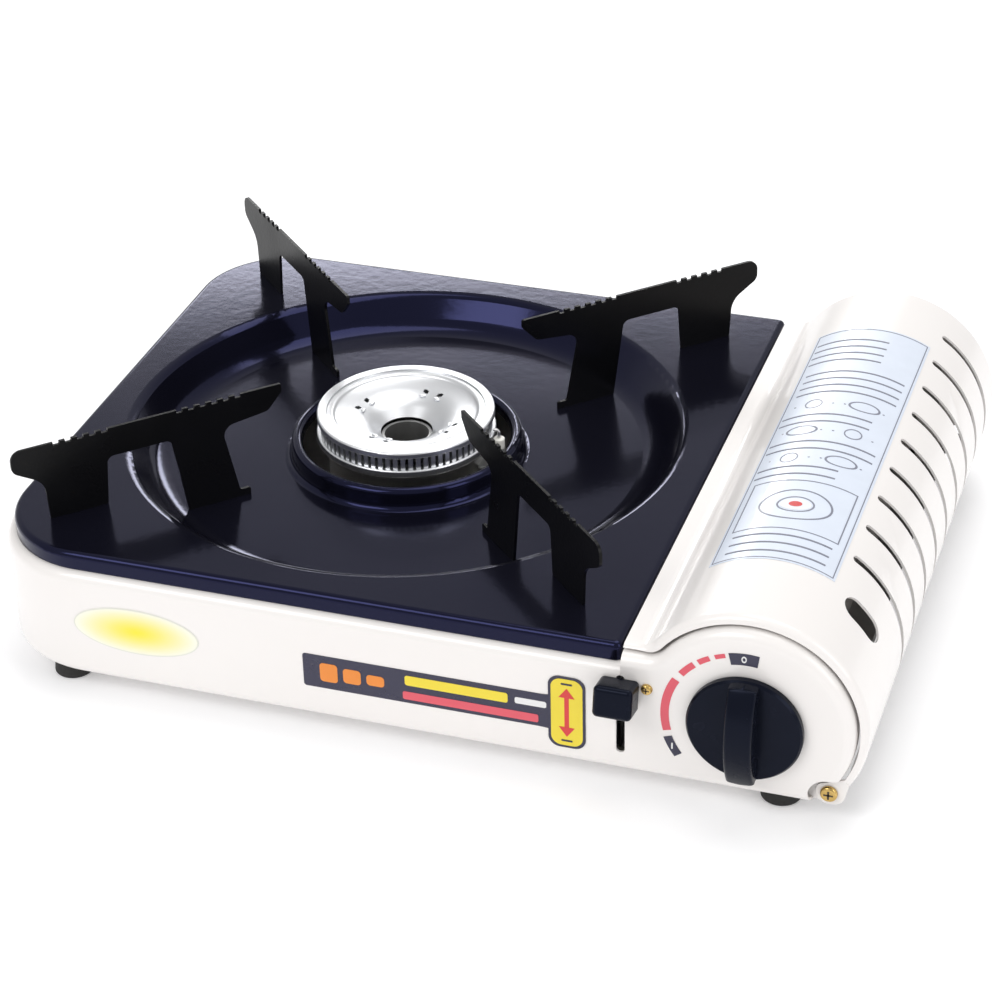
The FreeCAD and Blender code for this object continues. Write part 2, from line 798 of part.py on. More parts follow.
def make_support(angle):
    """Pan support cut from sheet: toothed top edge, two legs, and tabs through the plate."""
    beam_low = support_top - support_beam_depth
    tip_low = support_top - support_tip_depth
    inner_foot_end = inner_foot_start + inner_foot_width
    outer_foot_end = outer_foot_start + outer_foot_width
    nib_start = inner_foot_start - foot_nib_length
    corners = [(support_inner_tip, support_top, 0.8)]
    corners += support_teeth(inner_teeth_start, inner_teeth_count)
    corners += support_teeth(outer_teeth_start, outer_teeth_count)
    corners += [
        (support_outer_tip, support_top, 4.5),
        (support_outer_tip, tip_low, 4.0),
        (outer_foot_end + 1.0, beam_low - 4.0, 9.0),
        (outer_foot_end, deck_z, 0.5),
        (outer_foot_start, deck_z, 0.5),
        (outer_foot_start - 1.5, beam_low, 3.0),
        (inner_foot_end + inner_leg_lean - 1.5, beam_low, 3.0),
        (inner_foot_end, well_floor, 0.5),
        (nib_start, well_floor, 0.3),
        (nib_start, well_floor + foot_nib_height, 1.0),
        (inner_foot_start + 0.5, well_floor + foot_nib_height, 1.0),
        (inner_foot_start + inner_leg_lean, beam_low - 0.5, 5.0),
        (support_inner_tip + 6.5, beam_low + 1.8, 4.0),
        (support_inner_tip, support_top - 3.6, 1.0),
    ]
    half = support_sheet / 2
    pieces = [slab(corners, "xz", -half, half)]
    for start, level in foot_tabs():
        low = level - plate_sheet - foot_tab_depth
        pieces.append(block((start, -half, low), (start + foot_tab_width, half, level)))
    return join(pieces).rotate(Vector(0, 0, 0), AXIS_Z, angle)


def make_burner_bowl():
    """Gas bowl with a flange for the flame ring, a hole for the air sleeve and a lug for the electrode."""
    inner = bowl_radius - bowl_wall
    profile = [
        (air_sleeve_radius, bowl_z),
        (bowl_base_radius, bowl_z, 3.0),
        (bowl_radius, bowl_z + bowl_taper_height, 4.0),
        (bowl_radius, ring_z - bowl_flange_height),
        (bowl_flange_radius, ring_z - bowl_flange_height),
        (bowl_flange_radius, ring_z),
        (inner, ring_z),
        (inner, bowl_z + bowl_taper_height, 3.0),
        (bowl_base_radius - bowl_wall, bowl_z + bowl_floor, 2.0),
        (air_sleeve_radius, bowl_z + bowl_floor),
    ]
    bowl = turned(profile, Vector(0, 0, 0), AXIS_Z)
    half = electrode_lug_width / 2
    lug = slab(
        [(bowl_radius - bowl_wall / 2, -half), (insulator_offset + insulator_radius + 1.2, -half, half - 0.2),
         (insulator_offset + insulator_radius + 1.2, half, half - 0.2), (bowl_radius - bowl_wall / 2, half)],
        "xy", electrode_lug_height, electrode_lug_height + electrode_lug_sheet)
    seat = Vector(insulator_offset, 0, electrode_lug_height - 1)
    bowl = join([bowl, lug]).cut(rod(seat, seat + AXIS_Z * 4, insulator_radius))
    return bowl.cut(rod(mixer_point(mixer_start - 5), mixer_point(bowl_radius + 5), mixer_radius))


def make_air_sleeve():
    """Sleeve through the bowl that brings air up to the middle of the dish."""
    low = Vector(0, 0, bowl_z)
    high = Vector(0, 0, ring_top - dish_seat_depth - dish_depth + 1.0)
    bore = rod(low - AXIS_Z, high + AXIS_Z, air_sleeve_radius - air_sleeve_wall)
    return rod(low, high, air_sleeve_radius).cut(bore)


def mixer_point(distance):
    """Point on the mixing tube's axis, at a distance from the burner's axis."""
    turn = math.radians(mixer_angle)
    return Vector(distance * math.cos(turn), distance * math.sin(turn), mixer_z)


def make_flame_ring():
    """Aluminium ring with a bright rim above and below a band of flame ports."""
    band_low = ring_z + ring_base_height
    band_high = band_low + ring_band_height
    band = ring_radius - ring_band_inset
    seat = ring_top - dish_seat_depth
    profile = [
        (ring_inner_radius, ring_z),
        (ring_radius + 0.4, ring_z, ring_edge_round),
        (ring_radius + 0.4, band_low, ring_edge_round),
        (band, band_low),
        (band, band_high),
        (ring_radius, band_high, ring_edge_round),
        (ring_radius, ring_top, ring_edge_round),
        (dish_seat_radius, ring_top),
        (dish_seat_radius, seat),
        (ring_inner_radius, seat),
    ]
    ring = turned(profile, Vector(0, 0, 0), AXIS_Z)
    half = port_width / 2
    ports = []
    for index in range(port_count):
        port = block((ring_inner_radius - 1, -half, band_low), (ring_radius + 1, half, band_high))
        ports.append(port.rotate(Vector(0, 0, 0), AXIS_Z, 360.0 / port_count * index))
    return ring.cut(ports)


def make_burner_dish():
    """Dished aluminium cap that sits in the flame ring, with a central hole and pairs of slits."""
    seat = ring_top - dish_seat_depth
    rim = seat + dish_sheet
    bottom = rim - dish_depth
    path = [
        (dish_seat_radius - dish_clearance, rim, 0.0),
        (dish_flat_radius + dish_rim_run, rim, 3.0),
        (dish_flat_radius, bottom, 10.0),
        (dish_hole_radius, bottom - 0.8, 0.0),
    ]
    dish = turned(sheet_corners(path, dish_sheet), Vector(0, 0, 0), AXIS_Z)
    cuts = []
    for index in range(louvre_count):
        for side in (-1, 1):
            radius = louvre_radius - louvre_spacing / 2 + side * louvre_spacing / 2
            slit = block((radius - louvre_width / 2, -louvre_length / 2, bottom - 3),
                         (radius + louvre_width / 2, louvre_length / 2, bottom + 3))
            cuts.append(slit.rotate(Vector(0, 0, 0), AXIS_Z, 360.0 / louvre_count * (index + 0.5)))
    return dish.cut(cuts)


def make_burner_strap():
    """Bridge of strip steel that carries the bowl above the floor."""
    foot = strap_span / 2 + strap_foot_length
    rise = bowl_z - strap_sheet
    path = [
        (-foot, floor_top, 0.0),
        (-strap_span / 2, floor_top, strap_bend),
        (-strap_span / 2 + strap_ramp, rise, strap_bend),
        (strap_span / 2 - strap_ramp, rise, strap_bend),
        (strap_span / 2, floor_top, strap_bend),
        (foot, floor_top, 0.0),
    ]
    strap = slab(sheet_corners(path, strap_sheet), "yz", -strap_width / 2, strap_width / 2)
    cuts = [rod(Vector(0, 0, floor_z), Vector(0, 0, bowl_z + 1), air_sleeve_radius)]
    for x, y in floor_screw_places()[:2]:
        cuts.append(rod(Vector(x, y, floor_z), Vector(x, y, bowl_z), small_screw_radius))
    for y in (-rivet_spacing / 2, rivet_spacing / 2):
        cuts.append(rod(Vector(0, y, floor_z), Vector(0, y, bowl_z + 1), rivet_radius))
    return strap.cut(cuts)


def make_burner_rivets():
    """Rivets up through the strap into the floor of the bowl."""
    rivets = []
    for y in (-rivet_spacing / 2, rivet_spacing / 2):
        profile = [
            (0, 0), (rivet_radius, 0), (rivet_radius, strap_sheet), (0, strap_sheet),
        ]
        shank = turned(profile, Vector(0, y, bowl_z - strap_sheet), AXIS_Z)
        head = [(0, 0), (rivet_head_radius, 0), (rivet_head_radius, -rivet_head_height, 1.0), (0, -rivet_head_height)]
        rivets.append(join([shank, turned(head, Vector(0, y, bowl_z - strap_sheet), AXIS_Z)]))
    return Part.Compound(rivets)


def make_mixing_tube():
    """Mixing tube with a narrow throat, and an air chamber with windows behind the nozzle."""
    path = [
        (mixer_radius, mixer_start, 0.0),
        (mixer_radius, mixer_taper_start, 4.0),
        (mixer_throat_radius, mixer_throat_start, 4.0),
        (mixer_throat_radius, mixer_throat_end, 4.0),
        (mixer_radius, mixer_chamber_start, 4.0),
        (mixer_radius, mixer_end, 0.0),
        (nozzle_radius, mixer_end, 0.0),
    ]
    axis = (mixer_point(1) - mixer_point(0)).normalize()
    tube = turned(sheet_corners(path, mixer_wall), mixer_point(0), axis)
    middle = (mixer_chamber_start + mixer_end) / 2 + 1.0
    half_length = air_window_length / 2
    half_width_of_window = air_window_width / 2
    window = block((middle - half_length, -2 * mixer_radius, mixer_z - half_width_of_window),
                   (middle + half_length, 2 * mixer_radius, mixer_z + half_width_of_window))
    upright = block((middle - half_length, -half_width_of_window, mixer_z - 2 * mixer_radius),
                    (middle + half_length, half_width_of_window, mixer_z + 2 * mixer_radius))
    cuts = [piece.rotate(Vector(0, 0, 0), AXIS_Z, mixer_angle) for piece in (window, upright)]
    return tube.cut(cuts)


def make_gas_nozzle():
    """Brass nozzle screwed into the end wall of the mixing tube."""
    profile = [
        (0, -nozzle_tip_length), (nozzle_tip_radius, -nozzle_tip_length), (nozzle_radius, -nozzle_tip_length / 2),
        (nozzle_radius, 0), (nozzle_collar_radius, 0), (nozzle_collar_radius, nozzle_collar_length, 0.5),
        (0, nozzle_collar_length),
    ]
    axis = (mixer_point(1) - mixer_point(0)).normalize()
    return turned(profile, mixer_point(mixer_end), axis)


def make_gas_pipe():
    """Pipe from the regulator's outlet, low under the lever, through the heat shield to the nozzle."""
    start = mixer_point(mixer_end + nozzle_collar_length)
    run_out = mixer_point(mixer_end + nozzle_collar_length + 9)
    outlet_y = regulator_mid_y
    outlet_z = bay_z + outlet_height
    outlet_x = bay_x - outlet_reach
    points = [
        (start.x, start.y, start.z, 0.0),
        (run_out.x, run_out.y, run_out.z, pipe_bend),
        (shield_right - 14.0, (run_out.y + outlet_y) / 2 - 6.0, pipe_low_height, pipe_bend),
        (shield_right - 7.0, outlet_y, pipe_low_height, pipe_bend),
        (outlet_x - 15.0, outlet_y, pipe_low_height, pipe_bend),
        (outlet_x - 8.0, outlet_y, outlet_z, pipe_bend),
        (outlet_x, outlet_y, outlet_z, 0.0),
    ]
    return smooth(points, pipe_radius)


def make_heat_shield():
    """Upright sheet between burner and cartridge, with a foot, a top rim and cooling slots."""
    depth = body_half_depth - shield_end_gap
    left = shield_right - shield_sheet
    top = deck_z - plate_sheet - rest_gap
    path = [
        (shield_right - shield_foot, floor_top, 0.0),
        (shield_right, floor_top, 2.0),
        (shield_right, top, 2.0),
        (shield_right - shield_foot / 2, top, 0.0),
    ]
    shield = slab(sheet_corners(path, shield_sheet), "xz", -depth, depth)
    cuts = [rod(Vector(left - 1, regulator_mid_y, pipe_low_height),
                Vector(shield_right + 1, regulator_mid_y, pipe_low_height), pipe_radius + 1.0)]
    for index in range(shield_slot_count):
        y = (index - (shield_slot_count - 1) / 2) * shield_slot_pitch + shield_slot_pitch / 2
        half = shield_slot_width / 2
        slot = [(y - half, shield_slot_low, half - 0.1), (y + half, shield_slot_low, half - 0.1),
                (y + half, shield_slot_high, half - 0.1), (y - half, shield_slot_high, half - 0.1)]
        cuts.append(slab(slot, "yz", left - 1, shield_right + 1))
    return shield.cut(cuts)


def make_cartridge_cradle():
    """Trough that carries the cartridge, with an upright wall that guides the carriage."""
    start_y = bulkhead_y + 21.0
    end_y = start_y + cradle_length
    outer = saddle_radius + cradle_sheet
    low = cradle_start_angle
    span = ring_sector(saddle_radius, outer, low - 360, cradle_end_angle - 360, start_y, end_y)
    span.translate(Vector(0, 0, cartridge_z - bay_z))
    turn = math.radians(low)
    touch = (bay_x + outer * math.cos(turn), cartridge_z + outer * math.sin(turn))
    slope = (math.sin(turn), -math.cos(turn))
    wall_x = cradle_wall_x
    run = (wall_x - touch[0]) / slope[0]
    path = [
        (wall_x, cradle_wall_top, 0.0),
        (wall_x, touch[1] + slope[1] * run, 4.0),
        (touch[0], touch[1], 0.0),
    ]
    wall = slab(sheet_corners(path, cradle_sheet), "xz", start_y, end_y)
    cradle = join([span, wall])
    cuts = []
    gap = (cradle_length - 2 * cradle_window_length) / 3
    for index in range(2):
        window_y = start_y + gap + (cradle_window_length + gap) * index
        half = cradle_window_width / 2
        window = [(bay_x - half, window_y, 4.0), (bay_x + half, window_y, 4.0),
                  (bay_x + half, window_y + cradle_window_length, 4.0),
                  (bay_x - half, window_y + cradle_window_length, 4.0)]
        cuts.append(slab(window, "xy", floor_z, cartridge_z - cartridge_radius / 2))
    for y in carriage_rivet_spots:
        cuts.append(rod(Vector(wall_x - 1, y, carriage_z), Vector(wall_x + 3, y, carriage_z), carriage_rivet_radius))
    return cradle.cut(cuts)


def make_bulkhead():
    """Upright sheet behind the regulator: inlet hole, locating tongue and a foot on the floor."""
    back = bulkhead_y + bulkhead_sheet
    left = bay_x - bulkhead_width
    right = bay_x + bulkhead_width - 1.0
    top = bay_z + bulkhead_top
    corner = bulkhead_width - 9.0
    corners = [
        (left, floor_top), (left, top, corner), (right, top, corner), (right, hinge_z + 16.0, 6.0),
        (floor_end - 1.5, hinge_z + 6.0, 4.0), (floor_end - 1.5, floor_top),
    ]
    plate = slab(corners, "xz", bulkhead_y, back)
    foot = block((left, bulkhead_y - bulkhead_foot, floor_top), (floor_end - 1.5, back, floor_top + bulkhead_sheet))
    tongue_low = cartridge_z + bulkhead_hole_radius + 1.0
    tongue = block((bay_x - locator_width / 2, bulkhead_y, tongue_low),
                   (bay_x + locator_width / 2, back + locator_length, tongue_low + bulkhead_sheet))
    cuts = [rod(Vector(bay_x, bulkhead_y - 1, cartridge_z), Vector(bay_x, back + 1, cartridge_z), bulkhead_hole_radius)]
    for x, y in floor_screw_places()[2:]:
        cuts.append(rod(Vector(x, y, floor_z), Vector(x, y, floor_top + 3), small_screw_radius))
    for x, z in regulator_screw_places():
        cuts.append(rod(Vector(x, bulkhead_y - 1, z), Vector(x, back + 1, z), small_screw_radius))
    return join([plate, foot, tongue]).cut(cuts)


def regulator_screw_places():
    """(x, z) of the screws that hold the regulator to the bulkhead."""
    reach = (bulkhead_hole_radius + regulator_flange_radius) / 2
    return [(bay_x - reach, cartridge_z), (bay_x + reach, cartridge_z)]


def make_regulator_screws():
    """Screws from the cartridge side of the bulkhead into the regulator's flange."""
    depth = -body_half_depth + regulator_flange_start
    screws = []
    for x, z in regulator_screw_places():
        seat = Vector(x, bulkhead_y + bulkhead_sheet, z)
        screws.append(pan_screw(seat, AXIS_Y, seat.y - depth))
    return Part.Compound(screws)


def make_regulator_body():
    """Die-cast regulator: spindle neck, round body, rear flange, gas outlet and diaphragm seat."""
    front = -body_half_depth
    neck = rod(Vector(bay_x, front + regulator_neck_start, bay_z),
               Vector(bay_x, front + regulator_main_start, bay_z), regulator_neck_radius)
    main = turned(
        [(0, 0), (regulator_radius, 0, 2.0),
         (regulator_radius, regulator_main_end - regulator_main_start, 3.0),
         (0, regulator_main_end - regulator_main_start)],
        Vector(bay_x, front + regulator_main_start, bay_z), AXIS_Y)
    link = rod(Vector(bay_x, front + regulator_main_end - 4, cartridge_z),
               Vector(bay_x, front + regulator_flange_start, cartridge_z), regulator_block_radius)
    flange = rod(Vector(bay_x, front + regulator_flange_start, cartridge_z),
                 Vector(bay_x, bulkhead_y, cartridge_z), regulator_flange_radius)
    outlet = rod(Vector(bay_x, regulator_mid_y, bay_z + outlet_height),
                 Vector(bay_x - outlet_reach, regulator_mid_y, bay_z + outlet_height), outlet_radius)
    boss = rod(Vector(bay_x, regulator_mid_y, bay_z),
               Vector(bay_x, regulator_mid_y, bay_z + cap_boss_rise), cap_boss_radius)
    body = join([neck, main, link, flange, outlet, boss])
    bore_start = Vector(bay_x, front + regulator_neck_start - 1, bay_z)
    cuts = [rod(bore_start, bore_start + AXIS_Y * (spindle_bore_depth + 1), spindle_radius + running_gap)]
    for x, z in regulator_screw_places():
        hole = Vector(x, front + regulator_flange_start - 1, z)
        cuts.append(rod(hole, Vector(x, bulkhead_y + 1, z), small_screw_radius))
    for x, y in cap_screw_places():
        cuts.append(rod(Vector(x, y, bay_z + cap_boss_rise - 4), Vector(x, y, bay_z + cap_boss_rise + 1),
                        cap_screw_radius))
    return body.cut(cuts)


def cap_screw_places():
    """(x, y) of the screws round the diaphragm cap."""
    places = []
    for index in range(cap_screw_count):
        turn = math.radians(360.0 / cap_screw_count * index + 90)
        reach = cap_boss_radius - 2 * cap_screw_radius + 0.4
        places.append((bay_x + reach * math.cos(turn), regulator_mid_y + reach * math.sin(turn)))
    return places


def make_regulator_cap():
    """Domed cover over the regulator's diaphragm."""
    base = bay_z + cap_boss_rise
    profile = [
        (0, 0), (cap_radius, 0), (cap_radius, cap_flange_height), (cap_dome_radius - 1.5, cap_flange_height),
        (cap_dome_radius - 3.0, cap_dome_height, 2.0), (cap_adjuster_radius, cap_dome_height),
        (cap_adjuster_radius, cap_dome_height + cap_adjuster_height, 0.8), (0, cap_dome_height + cap_adjuster_height),
    ]
    cap = turned(profile, Vector(bay_x, regulator_mid_y, base), AXIS_Z)
    cuts = [rod(Vector(x, y, base - 1), Vector(x, y, base + 4), cap_screw_radius) for x, y in cap_screw_places()]
    return cap.cut(cuts)


def make_cap_screws():
    """Screws through the cap's flange into the regulator."""
    seat = bay_z + cap_boss_rise + cap_flange_height
    screws = []
    for x, y in cap_screw_places():
        screws.append(pan_screw(Vector(x, y, seat), AXIS_Z, cap_flange_height + 4, cap_screw_radius,
                                cap_screw_radius + 0.8, 1.3))
    return Part.Compound(screws)


def make_inlet_collar():
    """Brass inlet that takes the cartridge's valve stem."""
    nose = inlet_reach
    profile = [
        (seal_hole_radius, 0), (inlet_flange_radius, 0), (inlet_flange_radius, inlet_flange_length, 0.5),
        (inlet_nose_radius + 1.0, inlet_flange_length), (inlet_nose_radius, nose, 0.8),
        (inlet_bore_radius, nose), (inlet_bore_radius, nose - inlet_bore_depth),
        (seal_radius, nose - inlet_bore_depth), (seal_radius, nose - inlet_bore_depth - seal_thickness),
        (seal_hole_radius, nose - inlet_bore_depth - seal_thickness),
    ]
    return turned(profile, Vector(bay_x, bulkhead_y, cartridge_z), AXIS_Y)


def make_inlet_seal():
    """Rubber washer at the bottom of the inlet."""
    base = inlet_reach - inlet_bore_depth - seal_thickness
    profile = [
        (seal_hole_radius, 0), (seal_radius, 0), (seal_radius, seal_thickness),
        (seal_hole_radius, seal_thickness),
    ]
    return turned(profile, Vector(bay_x, bulkhead_y + base, cartridge_z), AXIS_Y)


def make_valve_spindle():
    """Spindle from the knob through the panel and the cam into the regulator."""
    front = -body_half_depth - knob_gap - knob_socket_depth
    end = -body_half_depth + regulator_neck_start + spindle_bore_depth - 1.0
    return rod(Vector(bay_x, front, bay_z), Vector(bay_x, end, bay_z), spindle_radius)


def make_igniter_cam():
    """Spiral cam on the spindle that pushes the igniter's plunger as the knob turns."""
    points = []
    for index in range(cam_points):
        share = index / (cam_points - 1)
        radius = cam_base_radius + cam_lift * share
        angle = 180.0 - knob_turn * share
        points.append(bay_point(radius, angle, cam_y))
    spiral = Part.BSplineCurve()
    spiral.interpolate(points)
    back = [bay_point(cam_base_radius, angle, cam_y) for angle in (20.0, -80.0, -180.0)]
    edges = [
        spiral.toShape(),
        Part.LineSegment(points[-1], back[0]).toShape(),
        Part.Arc(*back).toShape(),
    ]
    cam = Part.Face(Part.Wire(edges)).extrude(AXIS_Y * cam_thickness)
    return cam.cut(rod(Vector(bay_x, cam_y - 1, bay_z), Vector(bay_x, cam_y + cam_thickness + 1, bay_z), spindle_radius))


def make_knob():
    """Knob with a round skirt and an upright grip bar across it."""
    back = -body_half_depth - knob_gap
    disc_front = back - knob_disc_depth
    grip_front = back - knob_grip_depth
    disc = turned(
        [(0, 0), (knob_radius, 0), (knob_radius - 0.8, knob_disc_depth, knob_edge_round), (0, knob_disc_depth)],
        Vector(bay_x, back, bay_z), Vector(0, -1, 0))
    half = knob_grip_width / 2
    reach = knob_radius - 0.9
    bar = slab(
        [(bay_x - half, bay_z - reach, half - 0.2), (bay_x + half, bay_z - reach, half - 0.2),
         (bay_x + half, bay_z + reach, half - 0.2), (bay_x - half, bay_z + reach, half - 0.2)],
        "xz", grip_front, disc_front + 1)
    bar = rounded(bar, knob_edge_round, lambda edge: lies_on(edge, 1, grip_front))
    knob = join([disc, bar])
    hollow = rod(Vector(bay_x, back + 1, bay_z), Vector(bay_x, back - knob_socket_depth, bay_z), spindle_radius)
    return knob.cut(hollow)


def make_igniter_body():
    """Piezo igniter behind the panel, bored for its plunger."""
    tail = Vector(igniter_tail, igniter_y, bay_z)
    nose = Vector(igniter_nose, igniter_y, bay_z)
    bore = Vector(igniter_nose - igniter_bore_depth, igniter_y, bay_z)
    body = rod(tail, nose, igniter_radius)
    socket = rod(lead_start() + AXIS_Z * 3, lead_start(), lead_radius + 0.6)
    return join([body, socket]).cut(rod(bore, nose + AXIS_X, plunger_radius + running_gap))


def make_igniter_plunger():
    """Plunger between the igniter and the cam."""
    tip = bay_x - cam_base_radius - plunger_gap
    inner = igniter_nose - plunger_hidden
    profile = [(0, 0), (plunger_radius, 0), (plunger_radius, tip - inner, 1.2), (0, tip - inner)]
    return turned(profile, Vector(inner, igniter_y, bay_z), AXIS_X)


def lead_start():
    """Where the igniter's lead leaves its underside."""
    return Vector(igniter_tail + 3.5, igniter_y, bay_z - igniter_radius - 0.4)


def make_ignition_lead():
    """Insulated lead from the igniter, along the floor under the lever, up to the electrode."""
    start = lead_start()
    low = floor_top + lead_radius + 0.6
    end = insulator_top - insulator_length
    points = [
        (start.x, start.y, start.z, 0.0),
        (start.x, start.y, low, 9.0),
        (shield_right - 16.0, start.y + 6.0, low, 16.0),
        (86.0, -84.0, low, 22.0),
        (64.0, -40.0, low, 22.0),
        (insulator_offset, 0.0, low, 9.0),
        (insulator_offset, 0.0, end, 0.0),
    ]
    return smooth(points, lead_radius)


def make_electrode_insulator():
    """Ceramic insulator standing in the bowl's lug beside the flame ring."""
    low = insulator_top - insulator_length
    base = Vector(insulator_offset, 0, low)
    profile = [(0, 0), (insulator_radius, 0), (insulator_radius, insulator_length, 0.6), (0, insulator_length)]
    bore = rod(Vector(insulator_offset, 0, insulator_top - electrode_hidden),
               Vector(insulator_offset, 0, insulator_top + 1), electrode_radius)
    return turned(profile, base, AXIS_Z).cut(bore)


def make_electrode():
    """Spark electrode bent towards the flame ports."""
    top = insulator_top + electrode_rise
    points = [
        (insulator_offset, 0, insulator_top - electrode_hidden, 0.0),
        (insulator_offset, 0, top, 1.2),
        (insulator_offset - electrode_reach, 0, top, 0.0),
    ]
    return smooth(points, electrode_radius)


def tilted(shape):
    """The lever's pieces turned up from the middle of their swing to their rest position."""
    return shape.rotate(Vector(slot_x, lever_y, lever_z), AXIS_X, -lever_swing / 2)


def make_lever_arm():
    """Bell crank: long arm to the button, short arm up to the pin that moves the carriage."""
    reach = button_back_radius + arm_in_button
    half = lever_arm_height / 2
    pivot_left = Vector(lever_left, lever_y, lever_z)
    pivot_right = Vector(lever_right, lever_y, lever_z)
    up = AXIS_Z * lever_upper_arm
    pieces = [
        rod(pivot_left, pivot_right, lever_boss_radius),
        block((lever_left, lever_y - reach, lever_z - half), (lever_right, lever_y, lever_z + half)),
        block((lever_left, lever_y - lever_upper_width / 2, lever_z),
              (lever_right, lever_y + lever_upper_width / 2, lever_z + lever_upper_arm)),
        rod(pivot_left + up, pivot_right + up, lever_upper_width / 2),
    ]
    cuts = [
        rod(pivot_left - AXIS_X, pivot_right + AXIS_X, lever_pin_radius + running_gap),
        rod(pivot_left + up - AXIS_X, pivot_right + up + AXIS_X, lever_pin_radius),
    ]
    return tilted(join(pieces).cut(cuts))


def make_drive_pin():
    """Pin on the short arm that works in the carriage's slot."""
    start = Vector(lever_left, lever_y, lever_z + lever_upper_arm)
    end = Vector(carriage_right + 0.6, lever_y, lever_z + lever_upper_arm)
    return tilted(rod(start, end, lever_pin_radius))


def make_lever_button():
    """Button on the end of the lever, hollowed behind to follow the panel through its swing."""
    half_width_of_button = button_width / 2
    front = lever_y - button_back_radius - button_depth
    corners = [
        (slot_x - half_width_of_button, lever_z - button_height / 2),
        (slot_x + half_width_of_button, lever_z - button_height / 2),
        (slot_x + half_width_of_button, lever_z + button_height / 2),
        (slot_x - half_width_of_button, lever_z + button_height / 2),
    ]
    button = slab(corners, "xz", front, lever_y - button_back_radius + 3)
    sides = (slot_x - half_width_of_button, slot_x + half_width_of_button)

    def outer_edge(edge):
        on_front = lies_on(edge, 1, front)
        on_corner = any(lies_on(edge, 0, side) for side in sides) and edge.BoundBox.YLength > button_depth / 2
        return on_front or on_corner

    button = rounded(button, button_round, outer_edge)
    sweep = rod(Vector(sides[0] - 1, lever_y, lever_z), Vector(sides[1] + 1, lever_y, lever_z), button_back_radius)
    half = lever_arm_height / 2
    socket = block((lever_left, lever_y - button_back_radius - arm_in_button, lever_z - half),
                   (lever_right, lever_y, lever_z + half))
    return tilted(button.cut([sweep, socket]))


def make_lever_bracket():
    """Angle bracket behind the panel that carries the lever's pivot."""
    inside = -body_half_depth + body_sheet
    low = floor_z + bracket_low
    high = floor_z + bracket_high
    flange = slab(
        [(bracket_left, low), (bracket_left + bracket_flange_width, low, 2.0),
         (bracket_left + bracket_flange_width, high, 2.0), (bracket_left, high)],
        "xz", inside, inside + bracket_sheet)
    end = bracket_end_radius
    side = slab(
        [(inside, low), (lever_y - 2 * end, low, 6.0), (lever_y - end, lever_z - end, 4.0),
         (lever_y + end, lever_z - end, 5.0), (lever_y + end, lever_z + end, 5.0),
         (lever_y - 2 * end, lever_z + end, 6.0), (inside + 2 * end, high, 6.0), (inside, high)],
        "yz", bracket_left, bracket_right)
    screw = Vector(slot_x + lever_screw_offset, inside - 1, floor_z + lever_screw_height)
    cuts = [
        rod(screw, screw + AXIS_Y * 3, small_screw_radius),
        rod(Vector(bracket_left - 1, lever_y, lever_z), Vector(bracket_right + 1, lever_y, lever_z), lever_pin_radius),
    ]
    return join([flange, side]).cut(cuts)


def make_lever_screw():
    """Brass screw through the panel into the lever bracket, beside the button."""
    seat = Vector(slot_x + lever_screw_offset, -body_half_depth, floor_z + lever_screw_height)
    return pan_screw(seat, Vector(0, -1, 0), body_sheet + bracket_sheet, small_screw_radius,
                     lever_screw_head_radius, lever_screw_head_height)


def make_lever_pivot():
    """Headed pin that the lever turns on, riveted into its bracket."""
    head_radius = lever_pin_radius + 1.4
    left = Vector(lever_left - pass_gap, lever_y, lever_z)
    right = Vector(bracket_right, lever_y, lever_z)
    shank = rod(left, right + AXIS_X * 0.8, lever_pin_radius)
    head = rod(left - AXIS_X, left, head_radius)
    tail = rod(right, right + AXIS_X * 0.8, head_radius)
    return join([shank, head, tail])


def carriage_end():
    """Depth at which the carriage's end plate stands at rest, behind the cartridge."""
    return bulkhead_y + inlet_reach + cartridge_length + carriage_travel


def make_carriage():
    """Sliding strip along the cartridge with an end plate that pushes it to the regulator."""
    pin_y = lever_y + lever_upper_arm * math.sin(math.radians(lever_swing / 2))
    low = carriage_z - carriage_height / 2
    high = carriage_z + carriage_height / 2
    end_y = carriage_end()
    strip = slab(
        [(pin_y - 7.0, low, 2.0), (end_y + carriage_sheet, low), (end_y + carriage_sheet, high),
         (pin_y - 7.0, high, 2.0)],
        "yz", carriage_left, carriage_right)
    plate_low = cartridge_z + carriage_plate_low
    plate_high = cartridge_z + carriage_plate_high
    plate = slab(
        [(carriage_left, low), (carriage_left + 9.0, plate_low, 6.0),
         (carriage_left + carriage_plate_width, plate_low, 8.0),
         (carriage_left + carriage_plate_width, plate_high, 8.0), (carriage_left, plate_high, 1.0)],
        "xz", end_y, end_y + carriage_sheet)
    cuts = [carriage_slot(pin_y, lever_pin_radius + pass_gap, 0.0, 1.0)]
    for y in carriage_rivet_spots:
        cuts.append(carriage_slot(y, carriage_rivet_radius + pass_gap, carriage_travel, 0.0))
    return join([strip, plate]).cut(cuts)


def carriage_slot(y, radius, along, above):
    """Slot in the carriage's strip round a pin, with room along its length or its height."""
    low = carriage_z - radius - above
    high = carriage_z + radius + above
    corners = [(y - radius, low, radius - 0.1), (y + radius + along, low, radius - 0.1),
               (y + radius + along, high, radius - 0.1), (y - radius, high, radius - 0.1)]
    return slab(corners, "yz", carriage_left - 1, carriage_right + 1)


